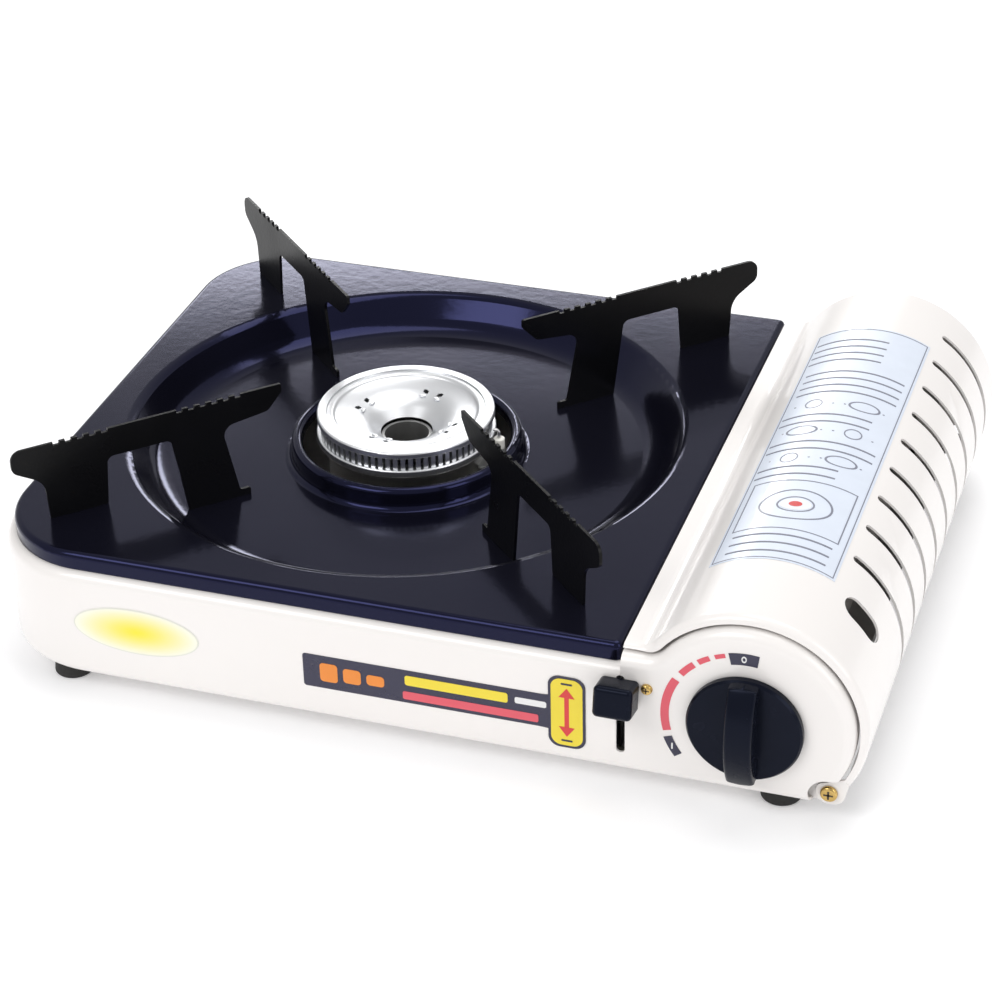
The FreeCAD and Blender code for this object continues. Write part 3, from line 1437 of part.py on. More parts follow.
def make_carriage_rivets():
    """Shouldered rivets in the cradle's wall that hold the carriage and let it slide."""
    rivets = []
    for y in carriage_rivet_spots:
        outer = carriage_left - pass_gap
        profile = [
            (0, 0), (carriage_rivet_head_radius, 0, 0.5), (carriage_rivet_head_radius, carriage_rivet_head_height),
            (carriage_rivet_radius, carriage_rivet_head_height),
            (carriage_rivet_radius, carriage_rivet_head_height + cradle_wall_x + cradle_sheet - outer),
            (0, carriage_rivet_head_height + cradle_wall_x + cradle_sheet - outer),
        ]
        rivets.append(turned(profile, Vector(outer - carriage_rivet_head_height, y, carriage_z), AXIS_X))
    return Part.Compound(rivets)


def make_lid():
    """Lid over the cartridge: rolled sheet with turned rims, cooling slots, finger hole and ears."""
    outer = lid_prism(0.0, lid_left, -lid_half_depth, lid_half_depth)
    inner_half = lid_half_depth - lid_sheet
    inner = lid_prism(-lid_sheet, lid_left - 20, -inner_half, inner_half)
    outer = rounded(outer, lid_edge_round, lambda edge: on_lid_rim(edge, lid_half_depth, lid_left))
    inner = rounded(inner, lid_edge_round - lid_sheet, lambda edge: on_lid_rim(edge, inner_half, lid_left - 20))
    opening = panel_prism(arch_gap, lid_left - 20, -lid_half_depth - 1, lid_half_depth + 1)
    turn = math.radians(lid_end_angle)
    far = 2 * lid_radius
    below = [
        (bay_x, bay_z), (bay_x + far * math.cos(turn), bay_z + far * math.sin(turn)),
        (bay_x + far, bay_z - 2 * far), (bay_x - far, bay_z - 2 * far), (bay_x - far, bay_z),
    ]
    skirt = slab(below, "xz", -lid_half_depth - 1, lid_half_depth + 1)
    shell = outer.cut([inner, opening, skirt]).cut(lid_slots() + [finger_hole()])
    ears = mirrored(lid_ear())
    pin = rod(Vector(hinge_x, -body_half_depth, hinge_z), Vector(hinge_x, body_half_depth, hinge_z),
              hinge_shank_radius + running_gap)
    return join([shell] + ears).cut(pin)


def on_lid_rim(edge, depth, left):
    """Whether an edge runs round one end of the lid's volume, leaving out its cut side."""
    on_end = lies_on(edge, 1, depth) or lies_on(edge, 1, -depth)
    return on_end and not lies_on(edge, 0, left)


def lid_ear():
    """Ear that turns the lid's rim down to the hinge screw."""
    inner_root = bay_point(arch_radius + arch_gap, lid_end_angle + 6, 0)
    outer_root = bay_point(lid_radius - lid_sheet / 2, lid_end_angle + 4, 0)
    low = hinge_z - ear_radius
    corners = [
        (hinge_x - ear_radius, low, ear_radius - 0.2),
        (hinge_x - ear_radius, hinge_z + ear_radius * 0.6, 3.0),
        (inner_root.x, inner_root.z),
        (outer_root.x, outer_root.z),
        (hinge_x + ear_radius, low, ear_radius - 0.2),
    ]
    return slab(corners, "xz", -lid_half_depth, -lid_half_depth + lid_sheet)


def lid_slots():
    """Cooling slots round the lid, each with rounded ends."""
    inner = lid_radius - 3 * lid_sheet
    outer = lid_radius + lid_sheet
    half = lid_slot_width / 2
    cuts = []
    for index in range(lid_slot_count):
        y = -lid_half_depth + lid_slot_first + lid_slot_pitch * index
        slot = ring_sector(inner, outer, lid_slot_bottom, lid_slot_top, y - half, y + half)

        def on_corner(edge):
            return edge.BoundBox.YLength < 1e-3 and edge.Length < 1.5 * (outer - inner)

        cuts.append(rounded(slot, half - lid_slot_flat / 2, on_corner))
    return cuts


def finger_hole():
    """Long round hole near the front edge, to lift the lid by."""
    y = -lid_half_depth + finger_hole_from_front
    half = finger_hole_width / 2
    straight = finger_hole_length / 2 - half
    corners = [(-straight - half, y - half, half - 0.1), (-straight - half, y + half, half - 0.1),
               (straight + half, y + half, half - 0.1), (straight + half, y - half, half - 0.1)]
    hole = slab(corners, "xy", lid_radius - 8, lid_radius + 5)
    hole.rotate(Vector(0, 0, 0), AXIS_Y, 90 - finger_hole_angle)
    hole.translate(Vector(bay_x, 0, bay_z))
    return hole


def make_hinge_screws():
    """Brass screws through the lid's ears into the lugs of the body."""
    seat = Vector(hinge_x, -lid_half_depth - pass_gap, hinge_z)
    shank = pass_gap + lid_sheet + rest_gap + body_sheet + 2.0
    screw = pan_screw(seat, Vector(0, -1, 0), shank, hinge_shank_radius, hinge_head_radius, hinge_head_height)
    return Part.Compound(mirrored(screw))


def build():
    """All pieces by node name."""
    parts = {
        "body_shell": make_body_shell(),
        "heat_shield": make_heat_shield(),
        "cartridge_cradle": make_cartridge_cradle(),
        "regulator_bulkhead": make_bulkhead(),
        "floor_screws": make_floor_screws(),
        "regulator_body": make_regulator_body(),
        "regulator_cap": make_regulator_cap(),
        "cap_screws": make_cap_screws(),
        "regulator_screws": make_regulator_screws(),
        "inlet_collar": make_inlet_collar(),
        "inlet_seal": make_inlet_seal(),
        "igniter_body": make_igniter_body(),
        "ignition_lead": make_ignition_lead(),
        "electrode_insulator": make_electrode_insulator(),
        "electrode_rod": make_electrode(),
        "gas_pipe": make_gas_pipe(),
        "gas_nozzle": make_gas_nozzle(),
        "mixing_tube": make_mixing_tube(),
        "burner_bowl": make_burner_bowl(),
        "air_sleeve": make_air_sleeve(),
        "flame_ring": make_flame_ring(),
        "burner_dish": make_burner_dish(),
        "burner_strap": make_burner_strap(),
        "burner_rivets": make_burner_rivets(),
        "lever_bracket": make_lever_bracket(),
        "lever_screw": make_lever_screw(),
        "lever_pivot": make_lever_pivot(),
        "carriage_rivets": make_carriage_rivets(),
        "hinge_screws": make_hinge_screws(),
        "knob": make_knob(),
        "valve_spindle": make_valve_spindle(),
        "igniter_cam": make_igniter_cam(),
        "igniter_plunger": make_igniter_plunger(),
        "lever_arm": make_lever_arm(),
        "lever_button": make_lever_button(),
        "lever_drive_pin": make_drive_pin(),
        "cartridge_carriage": make_carriage(),
        "top_plate": make_top_plate(),
        "lid": make_lid(),
    }
    for name, (x, y) in foot_places():
        parts["foot_" + name] = make_foot(x, y)
    for name, angle in zip(("rear_right", "rear_left", "front_left", "front_right"), support_angles()):
        parts["pan_support_" + name] = make_support(angle)
    return parts


os.makedirs("parts", exist_ok=True)
for node, solid in build().items():
    solid.exportStep(os.path.join("parts", node + ".step"))
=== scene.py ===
"""Looks of a single burner butane cassette stove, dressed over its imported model. Metres, +Z up."""

import json
import logging
from dataclasses import dataclass
from enum import Enum
from math import ceil, copysign, cos, pi, radians, sin, sqrt
from typing import Any, Callable, Sequence

import bmesh
import bpy
from mathutils import Matrix, Vector


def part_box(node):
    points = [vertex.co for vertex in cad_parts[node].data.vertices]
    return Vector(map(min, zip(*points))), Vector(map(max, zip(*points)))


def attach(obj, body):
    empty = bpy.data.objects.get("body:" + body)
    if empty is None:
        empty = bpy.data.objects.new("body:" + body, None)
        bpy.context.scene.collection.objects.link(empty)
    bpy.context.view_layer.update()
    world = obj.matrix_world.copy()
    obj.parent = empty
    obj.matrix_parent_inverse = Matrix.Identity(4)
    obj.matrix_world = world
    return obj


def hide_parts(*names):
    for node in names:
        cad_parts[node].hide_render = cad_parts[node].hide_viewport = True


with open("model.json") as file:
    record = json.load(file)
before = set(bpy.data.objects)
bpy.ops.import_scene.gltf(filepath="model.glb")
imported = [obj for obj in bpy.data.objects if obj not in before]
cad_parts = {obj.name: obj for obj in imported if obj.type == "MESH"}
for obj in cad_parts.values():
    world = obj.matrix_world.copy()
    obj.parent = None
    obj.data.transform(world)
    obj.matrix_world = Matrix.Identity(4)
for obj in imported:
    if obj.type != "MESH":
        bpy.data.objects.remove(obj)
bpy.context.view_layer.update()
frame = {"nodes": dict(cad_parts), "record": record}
log = logging.getLogger("stove")

Point = tuple[float, float]
Triple = tuple[float, float, float]
Colour = Triple
Span = tuple[float, float, float, float]
Surface = Callable[[float, float, float], Vector]
Sides = tuple[list[Point], list[Point]]
Faces = list[tuple[int, ...]]
Shell = tuple[list[Vector], Faces]

COAT_ROUGHNESS = 0.04
INK_SHADE = 0.9
TIP_TURN = 0.03
TIP_STEPS = 24
ARC_STEP = 4.0
LEAST_ARC_STEPS = 6
CUT_SHARE = 0.25
WELD_DISTANCE = 1e-6
SHARP_ANGLE = radians(35.0)


class Slot(Enum):
    """Material slots of the record."""

    CREAM = "cream_enamel"
    BLACK = "black_enamel"
    PLATED = "plated_steel"
    DIE_CAST = "die_cast"
    ALUMINIUM = "aluminium"
    BRASS = "brass"
    RUBBER = "black_rubber"
    PLASTIC = "black_plastic"
    CERAMIC = "white_ceramic"
    LEAD = "lead_sleeve"
    MOULDED = "white_plastic"


class Signal:
    """A shader value whose arithmetic adds Math nodes."""

    def __init__(self, recipe: "Recipe", socket: Any) -> None:
        """Wraps an output socket of a material."""
        self.recipe = recipe
        self.socket = socket

    def math(self, operation: str, other: Any = 0.0) -> "Signal":
        """Joins this value with a number or another signal through a Math node."""
        node = self.recipe.node("ShaderNodeMath", {"operation": operation}, {0: self, 1: other})
        return Signal(self.recipe, node.outputs[0])

    def __add__(self, other: Any) -> "Signal":
        """Sum."""
        return self.math("ADD", other)

    def __sub__(self, other: Any) -> "Signal":
        """Difference."""
        return self.math("SUBTRACT", other)

    def __mul__(self, other: Any) -> "Signal":
        """Product."""
        return self.math("MULTIPLY", other)

    __radd__ = __add__


class Graph:
    """A node tree under construction."""

    def __init__(self, tree: Any) -> None:
        """Holds the tree."""
        self.tree = tree

    def node(self, kind: str, settings: dict[str, Any] | None = None, inputs: dict[Any, Any] | None = None) -> Any:
        """Adds a node.

        Args:
            kind: the node's type.
            settings: attributes, set first.
            inputs: values, sockets or signals by socket name or number.

        Returns:
            The node.
        """
        node = self.tree.nodes.new(kind)
        for key, value in (settings or {}).items():
            setattr(node, key, value)
        for key, value in (inputs or {}).items():
            self.feed(node, key, value)
        return node

    def feed(self, node: Any, key: Any, value: Any) -> None:
        """Sets or links one input of a node.

        Args:
            node: the node.
            key: socket name or number.
            value: number, tuple, socket or signal.
        """
        source = value.socket if isinstance(value, Signal) else value
        if isinstance(source, bpy.types.NodeSocket):
            self.tree.links.new(source, node.inputs[key])
        else:
            node.inputs[key].default_value = source


class Recipe(Graph):
    """A material under construction, with its Principled shader."""

    def __init__(self, name: str) -> None:
        """Starts an empty material with a shader and an output.

        Args:
            name: the material's name.
        """
        self.material = bpy.data.materials.new(name)
        self.material.use_nodes = True
        super().__init__(self.material.node_tree)
        self.tree.nodes.clear()
        self.shader = self.node("ShaderNodeBsdfPrincipled")
        self.node("ShaderNodeOutputMaterial", inputs={"Surface": self.shader.outputs[0]})

    def place(self, centre: Triple = (0.0, 0.0, 0.0), scale: Triple = (1.0, 1.0, 1.0)) -> Any:
        """Object coordinates counted from a centre and scaled.

        Args:
            centre: the point that becomes zero.
            scale: factor on each axis.

        Returns:
            The vector socket.
        """
        source = self.node("ShaderNodeTexCoord").outputs["Object"]
        moved = self.node("ShaderNodeVectorMath", {"operation": "SUBTRACT"}, {0: source, 1: centre})
        scaled = self.node("ShaderNodeVectorMath", {"operation": "MULTIPLY"}, {0: moved.outputs[0], 1: scale})
        return scaled.outputs[0]

    def distance(self, vector: Any) -> Signal:
        """Length of a vector."""
        node = self.node("ShaderNodeVectorMath", {"operation": "LENGTH"}, {0: vector})
        return Signal(self, node.outputs["Value"])

    def noise(self, vector: Any, scale: float, detail: float) -> Signal:
        """Soft noise between 0 and 1, with a number of cells per metre and of octaves."""
        node = self.node("ShaderNodeTexNoise", inputs={"Vector": vector, "Scale": scale, "Detail": detail})
        return Signal(self, node.outputs["Fac"])

    def blend(self, factor: Any, first: Colour, second: Colour) -> Any:
        """Socket of a colour between two linear colours; a factor of 0 gives the first."""
        inputs = {"Factor": factor, 6: (*first, 1.0), 7: (*second, 1.0)}
        return self.node("ShaderNodeMix", {"data_type": "RGBA"}, inputs).outputs[2]


@dataclass(frozen=True)
class Finish:
    """A finish with mottled colour, uneven gloss and a fine surface."""

    name: str
    colour: Colour
    shade: Colour
    roughness: float = 0.4
    unevenness: float = 0.1
    metallic: float = 0.0
    coat: float = 0.0
    specular: float = 0.5
    tint: Colour = (1.0, 1.0, 1.0)
    patch_scale: float = 25.0
    grain_scale: float = 900.0
    grain_depth: float = 0.00002
    stretch: Triple = (1.0, 1.0, 1.0)

    def make(self) -> bpy.types.Material:
        """Builds the material.

        Returns:
            The finished material.
        """
        recipe = Recipe(self.name)
        where = recipe.place(scale=self.stretch)
        patches = recipe.noise(where, self.patch_scale, 3.0)
        grain = self.surface(recipe, recipe.noise(where, self.grain_scale, 2.0))
        bump = recipe.node("ShaderNodeBump", inputs={"Height": grain, "Distance": self.grain_depth, "Strength": 1.0})
        sockets = {
            "Base Color": self.paint(recipe, patches),
            "Roughness": self.roughness + (patches - 0.5) * self.unevenness,
            "Metallic": self.metallic,
            "Coat Weight": self.coat,
            "Coat Roughness": COAT_ROUGHNESS,
            "Specular IOR Level": self.specular,
            "Specular Tint": (*self.tint, 1.0),
            "Normal": bump.outputs["Normal"],
        }
        for socket, value in sockets.items():
            recipe.feed(recipe.shader, socket, value)
        return recipe.material

    def paint(self, recipe: Recipe, patches: Signal) -> Any:
        """Colour over the surface."""
        return recipe.blend(patches, self.colour, self.shade)

    def surface(self, recipe: Recipe, grain: Signal) -> Signal:
        """Height over the surface."""
        return grain


@dataclass(frozen=True)
class TurnedFinish(Finish):
    """Metal with fine rings of the lathe round the burner's axis."""

    rings: float = 1400.0
    ring_share: float = 0.35

    def surface(self, recipe: Recipe, grain: Signal) -> Signal:
        """Height of the rings mixed with the grain.

        Args:
            recipe: the material being built.
            grain: height of the grain.

        Returns:
            The mixed height.
        """
        radius = recipe.distance(recipe.place(scale=(1.0, 1.0, 0.0)))
        wave = (radius * self.rings * 2.0 * pi).math("SINE")
        return wave * self.ring_share + grain * (1.0 - self.ring_share)


@dataclass(frozen=True)
class GlowFinish(Finish):
    """Printed colour that fades from the middle of an oval to its rim."""

    centre: Triple = (0.0, 0.0, 0.0)
    reach: Point = (0.03, 0.01)
    fade_power: float = 1.6

    def paint(self, recipe: Recipe, patches: Signal) -> Any:
        """Colour by distance from the oval's centre.

        Args:
            recipe: the material being built.
            patches: mottling, not used here.

        Returns:
            The colour socket.
        """
        spread = recipe.place(self.centre, (1.0 / self.reach[0], 0.0, 1.0 / self.reach[1]))
        fade = recipe.distance(spread).math("POWER", self.fade_power).math("MINIMUM", 1.0)
        return recipe.blend(fade, self.colour, self.shade)


def printed(name: str, colour: Colour, roughness: float = 0.35) -> bpy.types.Material:
    """Material of printed ink in a linear colour, also used for the painted shade of the screw recesses."""
    darker = tuple(INK_SHADE * value for value in colour)
    return Finish(name, colour, darker, roughness, 0.05, coat=0.3, patch_scale=120.0, grain_depth=0.000005).make()


FINISHES: dict[Slot, Finish] = {
    Slot.CREAM: Finish("ivory_enamel", (0.90, 0.87, 0.85), (0.87, 0.835, 0.81), 0.3, 0.08, coat=0.45,
                       patch_scale=14.0, grain_scale=420.0, grain_depth=0.000025),
    Slot.BLACK: Finish("black_enamel", (0.003, 0.003, 0.006), (0.005, 0.005, 0.010), 0.13, 0.06, specular=0.42,
                       tint=(0.35, 0.38, 1.0), patch_scale=10.0, grain_scale=260.0, grain_depth=0.00003),
    Slot.PLATED: Finish("zinc_plate", (0.66, 0.66, 0.65), (0.5, 0.5, 0.5), 0.36, 0.22, 1.0,
                        patch_scale=60.0, grain_scale=1500.0, grain_depth=0.00001, stretch=(1.0, 0.15, 1.0)),
    Slot.DIE_CAST: Finish("die_cast_zinc", (0.5, 0.5, 0.51), (0.38, 0.38, 0.4), 0.5, 0.15, 1.0,
                          patch_scale=90.0, grain_scale=1800.0, grain_depth=0.00006),
    Slot.ALUMINIUM: TurnedFinish("turned_aluminium", (0.86, 0.87, 0.89), (0.78, 0.79, 0.81), 0.34, 0.08, 1.0,
                                 patch_scale=70.0, grain_scale=1300.0, grain_depth=0.000006),
    Slot.BRASS: Finish("brass", (0.72, 0.5, 0.18), (0.5, 0.33, 0.1), 0.28, 0.2, 1.0,
                       patch_scale=300.0, grain_scale=2000.0, grain_depth=0.00001),
    Slot.RUBBER: Finish("foot_rubber", (0.012, 0.012, 0.012), (0.022, 0.021, 0.02), 0.7, 0.15,
                        patch_scale=120.0, grain_scale=1600.0, grain_depth=0.00005),
    Slot.PLASTIC: Finish("black_plastic", (0.003, 0.004, 0.008), (0.005, 0.006, 0.012), 0.26, 0.1, specular=0.14,
                         tint=(0.6, 0.68, 1.0), patch_scale=60.0, grain_scale=1100.0),
    Slot.CERAMIC: Finish("glazed_ceramic", (0.86, 0.85, 0.8), (0.78, 0.76, 0.7), 0.2, 0.1, coat=0.5,
                         patch_scale=200.0, grain_depth=0.00001),
    Slot.LEAD: Finish("silicone_sleeve", (0.6, 0.57, 0.5), (0.5, 0.47, 0.4), 0.55, 0.1,
                      patch_scale=150.0, grain_scale=1500.0),
    Slot.MOULDED: Finish("moulded_nylon", (0.8, 0.8, 0.76), (0.72, 0.72, 0.68), 0.45, 0.1,
                         patch_scale=100.0, grain_scale=1400.0),
}
SUPPORT_FINISH = Finish("support_enamel", (0.002, 0.002, 0.002), (0.004, 0.004, 0.005), 0.3, 0.2,
                        specular=0.16, patch_scale=35.0, grain_scale=700.0, grain_depth=0.00005)


def ribbon(lines: Sides, surface: Surface, lift: float, thickness: float) -> Shell:
    """Thin closed solid between two lines laid on a surface.

    Args:
        lines: points of one long side and matching points of the other.
        surface: maps (across, up, lift) to the row frame.
        lift: height of the underside above the surface.
        thickness: from the underside to the top.

    Returns:
        Vertices and faces, facing outwards when the surface's normal is across x up.
    """
    count = len(lines[0])
    high = 2 * count
    verts = [surface(u, v, lift + rise) for rise in (0.0, thickness) for line in lines for u, v in line]
    faces: Faces = []
    for a in range(count - 1):
        b = a + 1
        faces += [
            (high + a, high + b, high + count + b, high + count + a),
            (b, a, count + a, count + b),
            (a, b, high + b, high + a),
            (count + b, count + a, high + count + a, high + count + b),
        ]
    return verts, faces + [(0, high, high + count, count), (count - 1, high - 1, 2 * high - 1, high + count - 1)]


def lozenge(centre: Point, half: Point, radius: float, upright: bool = False) -> Sides:
    """Two sides of a rounded bar, or of an ellipse where the radius is zero, left a little open at both tips.

    Args:
        centre: middle of the bar.
        half: half length and half width.
        radius: corner radius; 0 makes an ellipse.
        upright: whether the length runs up.

    Returns:
        Lower and upper lines.
    """
    turns = [TIP_TURN + (pi - 2.0 * TIP_TURN) * step / TIP_STEPS for step in range(TIP_STEPS + 1)]
    offsets: list[Point] = []
    for turn in turns:
        if radius <= 0.0:
            offsets.append((-half[0] * cos(turn), half[1] * sin(turn)))
        else:
            side = copysign(half[0] - radius, -cos(turn))
            offsets.append((side - radius * cos(turn), half[1] - radius + radius * sin(turn)))
    lines: list[list[Point]] = []
    for sign in (-1.0, 1.0):
        if upright:
            lines.append([(centre[0] - sign * width, centre[1] + along) for along, width in offsets])
        else:
            lines.append([(centre[0] + along, centre[1] + sign * width) for along, width in offsets])
    return lines[0], lines[1]


def sector(centre: Point, inner: float, outer: float, start: float, end: float,
           squash: float = 1.0) -> Sides:
    """Two sides of an arc band.

    Args:
        centre: centre of the arc.
        inner: inner radius.
        outer: outer radius.
        start: first angle in degrees.
        end: last angle in degrees.
        squash: factor on the width of the arc, for a numeral.

    Returns:
        Outer and inner lines.
    """
    steps = max(LEAST_ARC_STEPS, int(abs(end - start) / ARC_STEP))
    lines: list[list[Point]] = []
    for radius in (outer, inner):
        angles = [radians(start + (end - start) * step / steps) for step in range(steps + 1)]
        lines.append([(centre[0] + squash * radius * cos(a), centre[1] + radius * sin(a)) for a in angles])
    return lines[0], lines[1]


def placed(name: str, data: Any) -> bpy.types.Object:
    """New object in the scene.

    Args:
        name: its name.
        data: its mesh, camera or light.

    Returns:
        The object.
    """
    piece = bpy.data.objects.new(name, data)
    bpy.context.scene.collection.objects.link(piece)
    return piece


def dress(piece: bpy.types.Object, material: bpy.types.Material, body: str, slot: Slot) -> bpy.types.Object:
    """Gives a new piece its material and body, and reports it.

    Args:
        piece: the object.
        material: its material.
        body: the CAD body that it rides on.
        slot: the record's slot; not used.

    Returns:
        The same object.
    """
    piece.data.materials.clear()
    piece.data.materials.append(material)
    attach(piece, body)
    log.info("piece %s on %s", piece.name, body)
    return piece


def solid(name: str, shells: Sequence[Shell]) -> bpy.types.Object:
    """One mesh object from closed shells.

    Args:
        name: object name.
        shells: vertices and faces of each shell.

    Returns:
        The object, linked to the scene.
    """
    verts: list[Vector] = []
    faces: Faces = []
    for shell_verts, shell_faces in shells:
        base = len(verts)
        verts += shell_verts
        faces += [tuple(base + index for index in face) for face in shell_faces]
    mesh = bpy.data.meshes.new(name)
    mesh.from_pydata(verts, [], faces)
    mesh.update()
    return placed(name, mesh)


class Pattern(Graph):
    """A Geometry Nodes tree that repeats a small shape."""

    def __init__(self, name: str) -> None:
        """Starts a tree with a geometry output.

        Args:
            name: the tree's name.
        """
        super().__init__(bpy.data.node_groups.new(name, "GeometryNodeTree"))
        self.tree.interface.new_socket("Geometry", in_out="OUTPUT", socket_type="NodeSocketGeometry")
        self.sizes: dict[str, float] = {}
        self.entry = self.node("NodeGroupInput")

    def size(self, name: str, value: float, kind: str = "NodeSocketFloat") -> Any:
        """Adds a named input.

        Args:
            name: the input's name.
            value: its value.
            kind: socket type.

        Returns:
            The output socket that carries it inside the tree.
        """
        item = self.tree.interface.new_socket(name, in_out="INPUT", socket_type=kind)
        self.sizes[item.identifier] = value
        return self.entry.outputs[name]

    def bake(self, name: str, geometry: Any, material: bpy.types.Material) -> bpy.types.Object:
        """Ends the tree and turns its result into a plain mesh object.

        Args:
            name: object name.
            geometry: the geometry socket to finish.
            material: its material.

        Returns:
            The object.
        """
        real = self.node("GeometryNodeRealizeInstances", inputs={0: geometry})
        painted = self.node("GeometryNodeSetMaterial", inputs={"Geometry": real.outputs[0], "Material": material})
        self.node("NodeGroupOutput", inputs={0: painted.outputs[0]})
        carrier = placed(name + "_carrier", bpy.data.meshes.new(name + "_carrier"))
        modifier = carrier.modifiers.new("pattern", "NODES")
        modifier.node_group = self.tree
        for identifier, value in self.sizes.items():
            modifier[identifier] = value
        evaluated = carrier.evaluated_get(bpy.context.evaluated_depsgraph_get())
        mesh = bpy.data.meshes.new_from_object(evaluated)
        mesh.name = name
        bpy.data.objects.remove(carrier)
        return placed(name, mesh)


@dataclass(frozen=True)
class Bar:
    """Printed bar with rounded corners."""

    centre: Point
    half: Point
    corner: float

    def sides(self) -> Sides:
        """Its two long sides."""
        return lozenge(self.centre, self.half, self.corner)


@dataclass
class FrontPanel:
    """Prints on the front of the tub and round the knob, and painted shade in the front screws' cross recesses."""

    face: float = -0.135
    bay: Point = (0.179, 0.040)
    film: float = 0.00012
    gap: float = 0.00004
    arc: Point = (0.0291, 0.0323)
    arc_span: Point = (150.0, 195.0)
    dashes: tuple[Triple, ...] = ((137.0, 13.0, 0.0026), (122.0, 9.0, 0.0022), (109.5, 7.5, 0.0018))
    high_tag: Span = (0.0268, 0.0318, 82.0, 103.0)
    low_tag: Span = (0.0296, 0.0330, 200.0, 216.0)
    nought: Point = (0.0008, 0.0014)
    nought_squash: float = 0.7
    one_half: Point = (0.0014, 0.0003)
    one_corner: float = 0.00025
    oval: Point = (-0.0648, 0.0344)
    oval_half: Point = (0.0266, 0.0104)
    oval_rim: float = 0.0006
    glow_share: float = 0.95
    strip: Span = (0.0050, 0.0236, 0.1060, 0.0386)
    strip_corner: float = 0.0012
    yellow_bar: Bar = Bar((0.0670, 0.0340), (0.0205, 0.0022), 0.0010)
    white_bar: Bar = Bar((0.0965, 0.0338), (0.0062, 0.0014), 0.0008)
    pink_bar: Bar = Bar((0.0725, 0.0270), (0.0270, 0.0018), 0.0008)
    first_block: Bar = Bar((0.0155, 0.0311), (0.0036, 0.0042), 0.0015)
    block_count: int = 3
    block_pitch: float = 0.0095
    block_shrink: float = 0.0009
    gauge: Point = (0.1107, 0.0321)
    gauge_half: Point = (0.0062, 0.0151)
    gauge_border: float = 0.0011
    gauge_corners: Point = (0.0040, 0.0045)
    flare_overlap: float = 0.0060
    flare_short: float = 0.0030
    flare_steps: int = 16
    arrow_inset: float = 0.0042
    arrow_head: Point = (0.0031, 0.0042)
    arrow_tip: float = 0.0001
    shaft_short: float = 0.0030
    shaft_half: float = 0.0009
    shaft_corner: float = 0.0002
    tick: Bar = Bar((0.0, 0.0022), (0.0022, 0.0004), 0.0003)
    cross: Triple = (0.28, 0.22, 0.1)
    cross_proud: float = 0.00002

    def on(self, across: float, up: float, lift: float) -> Vector:
        """Point in front of the panel."""
        return Vector((across, self.face - lift, up))

    def lay(self, lines: Sides, layer: float = 0.0, lift: float = 0.0) -> Shell:
        """Film between two lines, on the panel or lifted with what carries it; layer 0 is the lowest."""
        return ribbon(lines, self.on, lift + self.gap + layer * self.film, self.film)

    def put(self, name: str, shells: Sequence[Shell], material: Any, slot: Slot = Slot.CREAM) -> None:
        """Makes and dresses one print of the front."""
        dress(solid(name, shells), material, "body", slot)

    def build(self) -> None:
        """Makes and dresses every print of the front and the painted shade of its screw recesses."""
        pink = printed("dial_pink", (0.78, 0.09, 0.13))
        navy = printed("label_navy", (0.012, 0.011, 0.045), 0.22)
        white = printed("label_white", (0.85, 0.85, 0.85))
        shells = [self.lay(sector(self.bay, *self.arc, *self.arc_span))]
        track = sum(self.arc) / 2
        for middle, span, width in self.dashes:
            dash = sector(self.bay, track - width / 2, track + width / 2, middle - span / 2, middle + span / 2)
            shells.append(self.lay(dash))
        self.put("dial_scale", shells, pink)
        self.put("dial_tags", [self.lay(sector(self.bay, *tag)) for tag in (self.high_tag, self.low_tag)], navy)
        self.put("dial_numbers", self.numbers(), white)
        self.build_oval()
        self.build_strip(navy, white, pink)
        self.build_screw_slots()

    def tag_middle(self, tag: Span) -> Point:
        """Centre of a tag.

        Args:
            tag: its radii and angles.

        Returns:
            The point on the panel.
        """
        radius = (tag[0] + tag[1]) / 2
        turn = radians((tag[2] + tag[3]) / 2)
        return self.bay[0] + radius * cos(turn), self.bay[1] + radius * sin(turn)

    def numbers(self) -> list[Shell]:
        """A nought and a one for the two ends of the knob's turn.

        Returns:
            Their films.
        """
        nought = sector(self.tag_middle(self.high_tag), *self.nought, 0.0, 360.0, self.nought_squash)
        one = lozenge(self.tag_middle(self.low_tag), self.one_half, self.one_corner, upright=True)
        return [self.lay(nought, 1), self.lay(one, 1)]

    def build_oval(self) -> None:
        """Oval sticker with a plain glow, left without words."""
        half_x, half_z = self.oval_half
        rim = printed("oval_rim", (0.82, 0.82, 0.74))
        glow = GlowFinish("oval_glow", (0.95, 0.80, 0.02), (0.93, 0.92, 0.78), 0.3, 0.05, coat=0.4,
                          grain_depth=0.000005, centre=(self.oval[0], 0.0, self.oval[1]),
                          reach=(half_x * self.glow_share, half_z * self.glow_share))
        base = self.lay(lozenge(self.oval, self.oval_half, 0.0))
        top = self.lay(lozenge(self.oval, (half_x - self.oval_rim, half_z - self.oval_rim), 0.0), 1)
        self.put("oval_sticker_base", [base], rim)
        self.put("oval_sticker_glow", [top], glow.make())

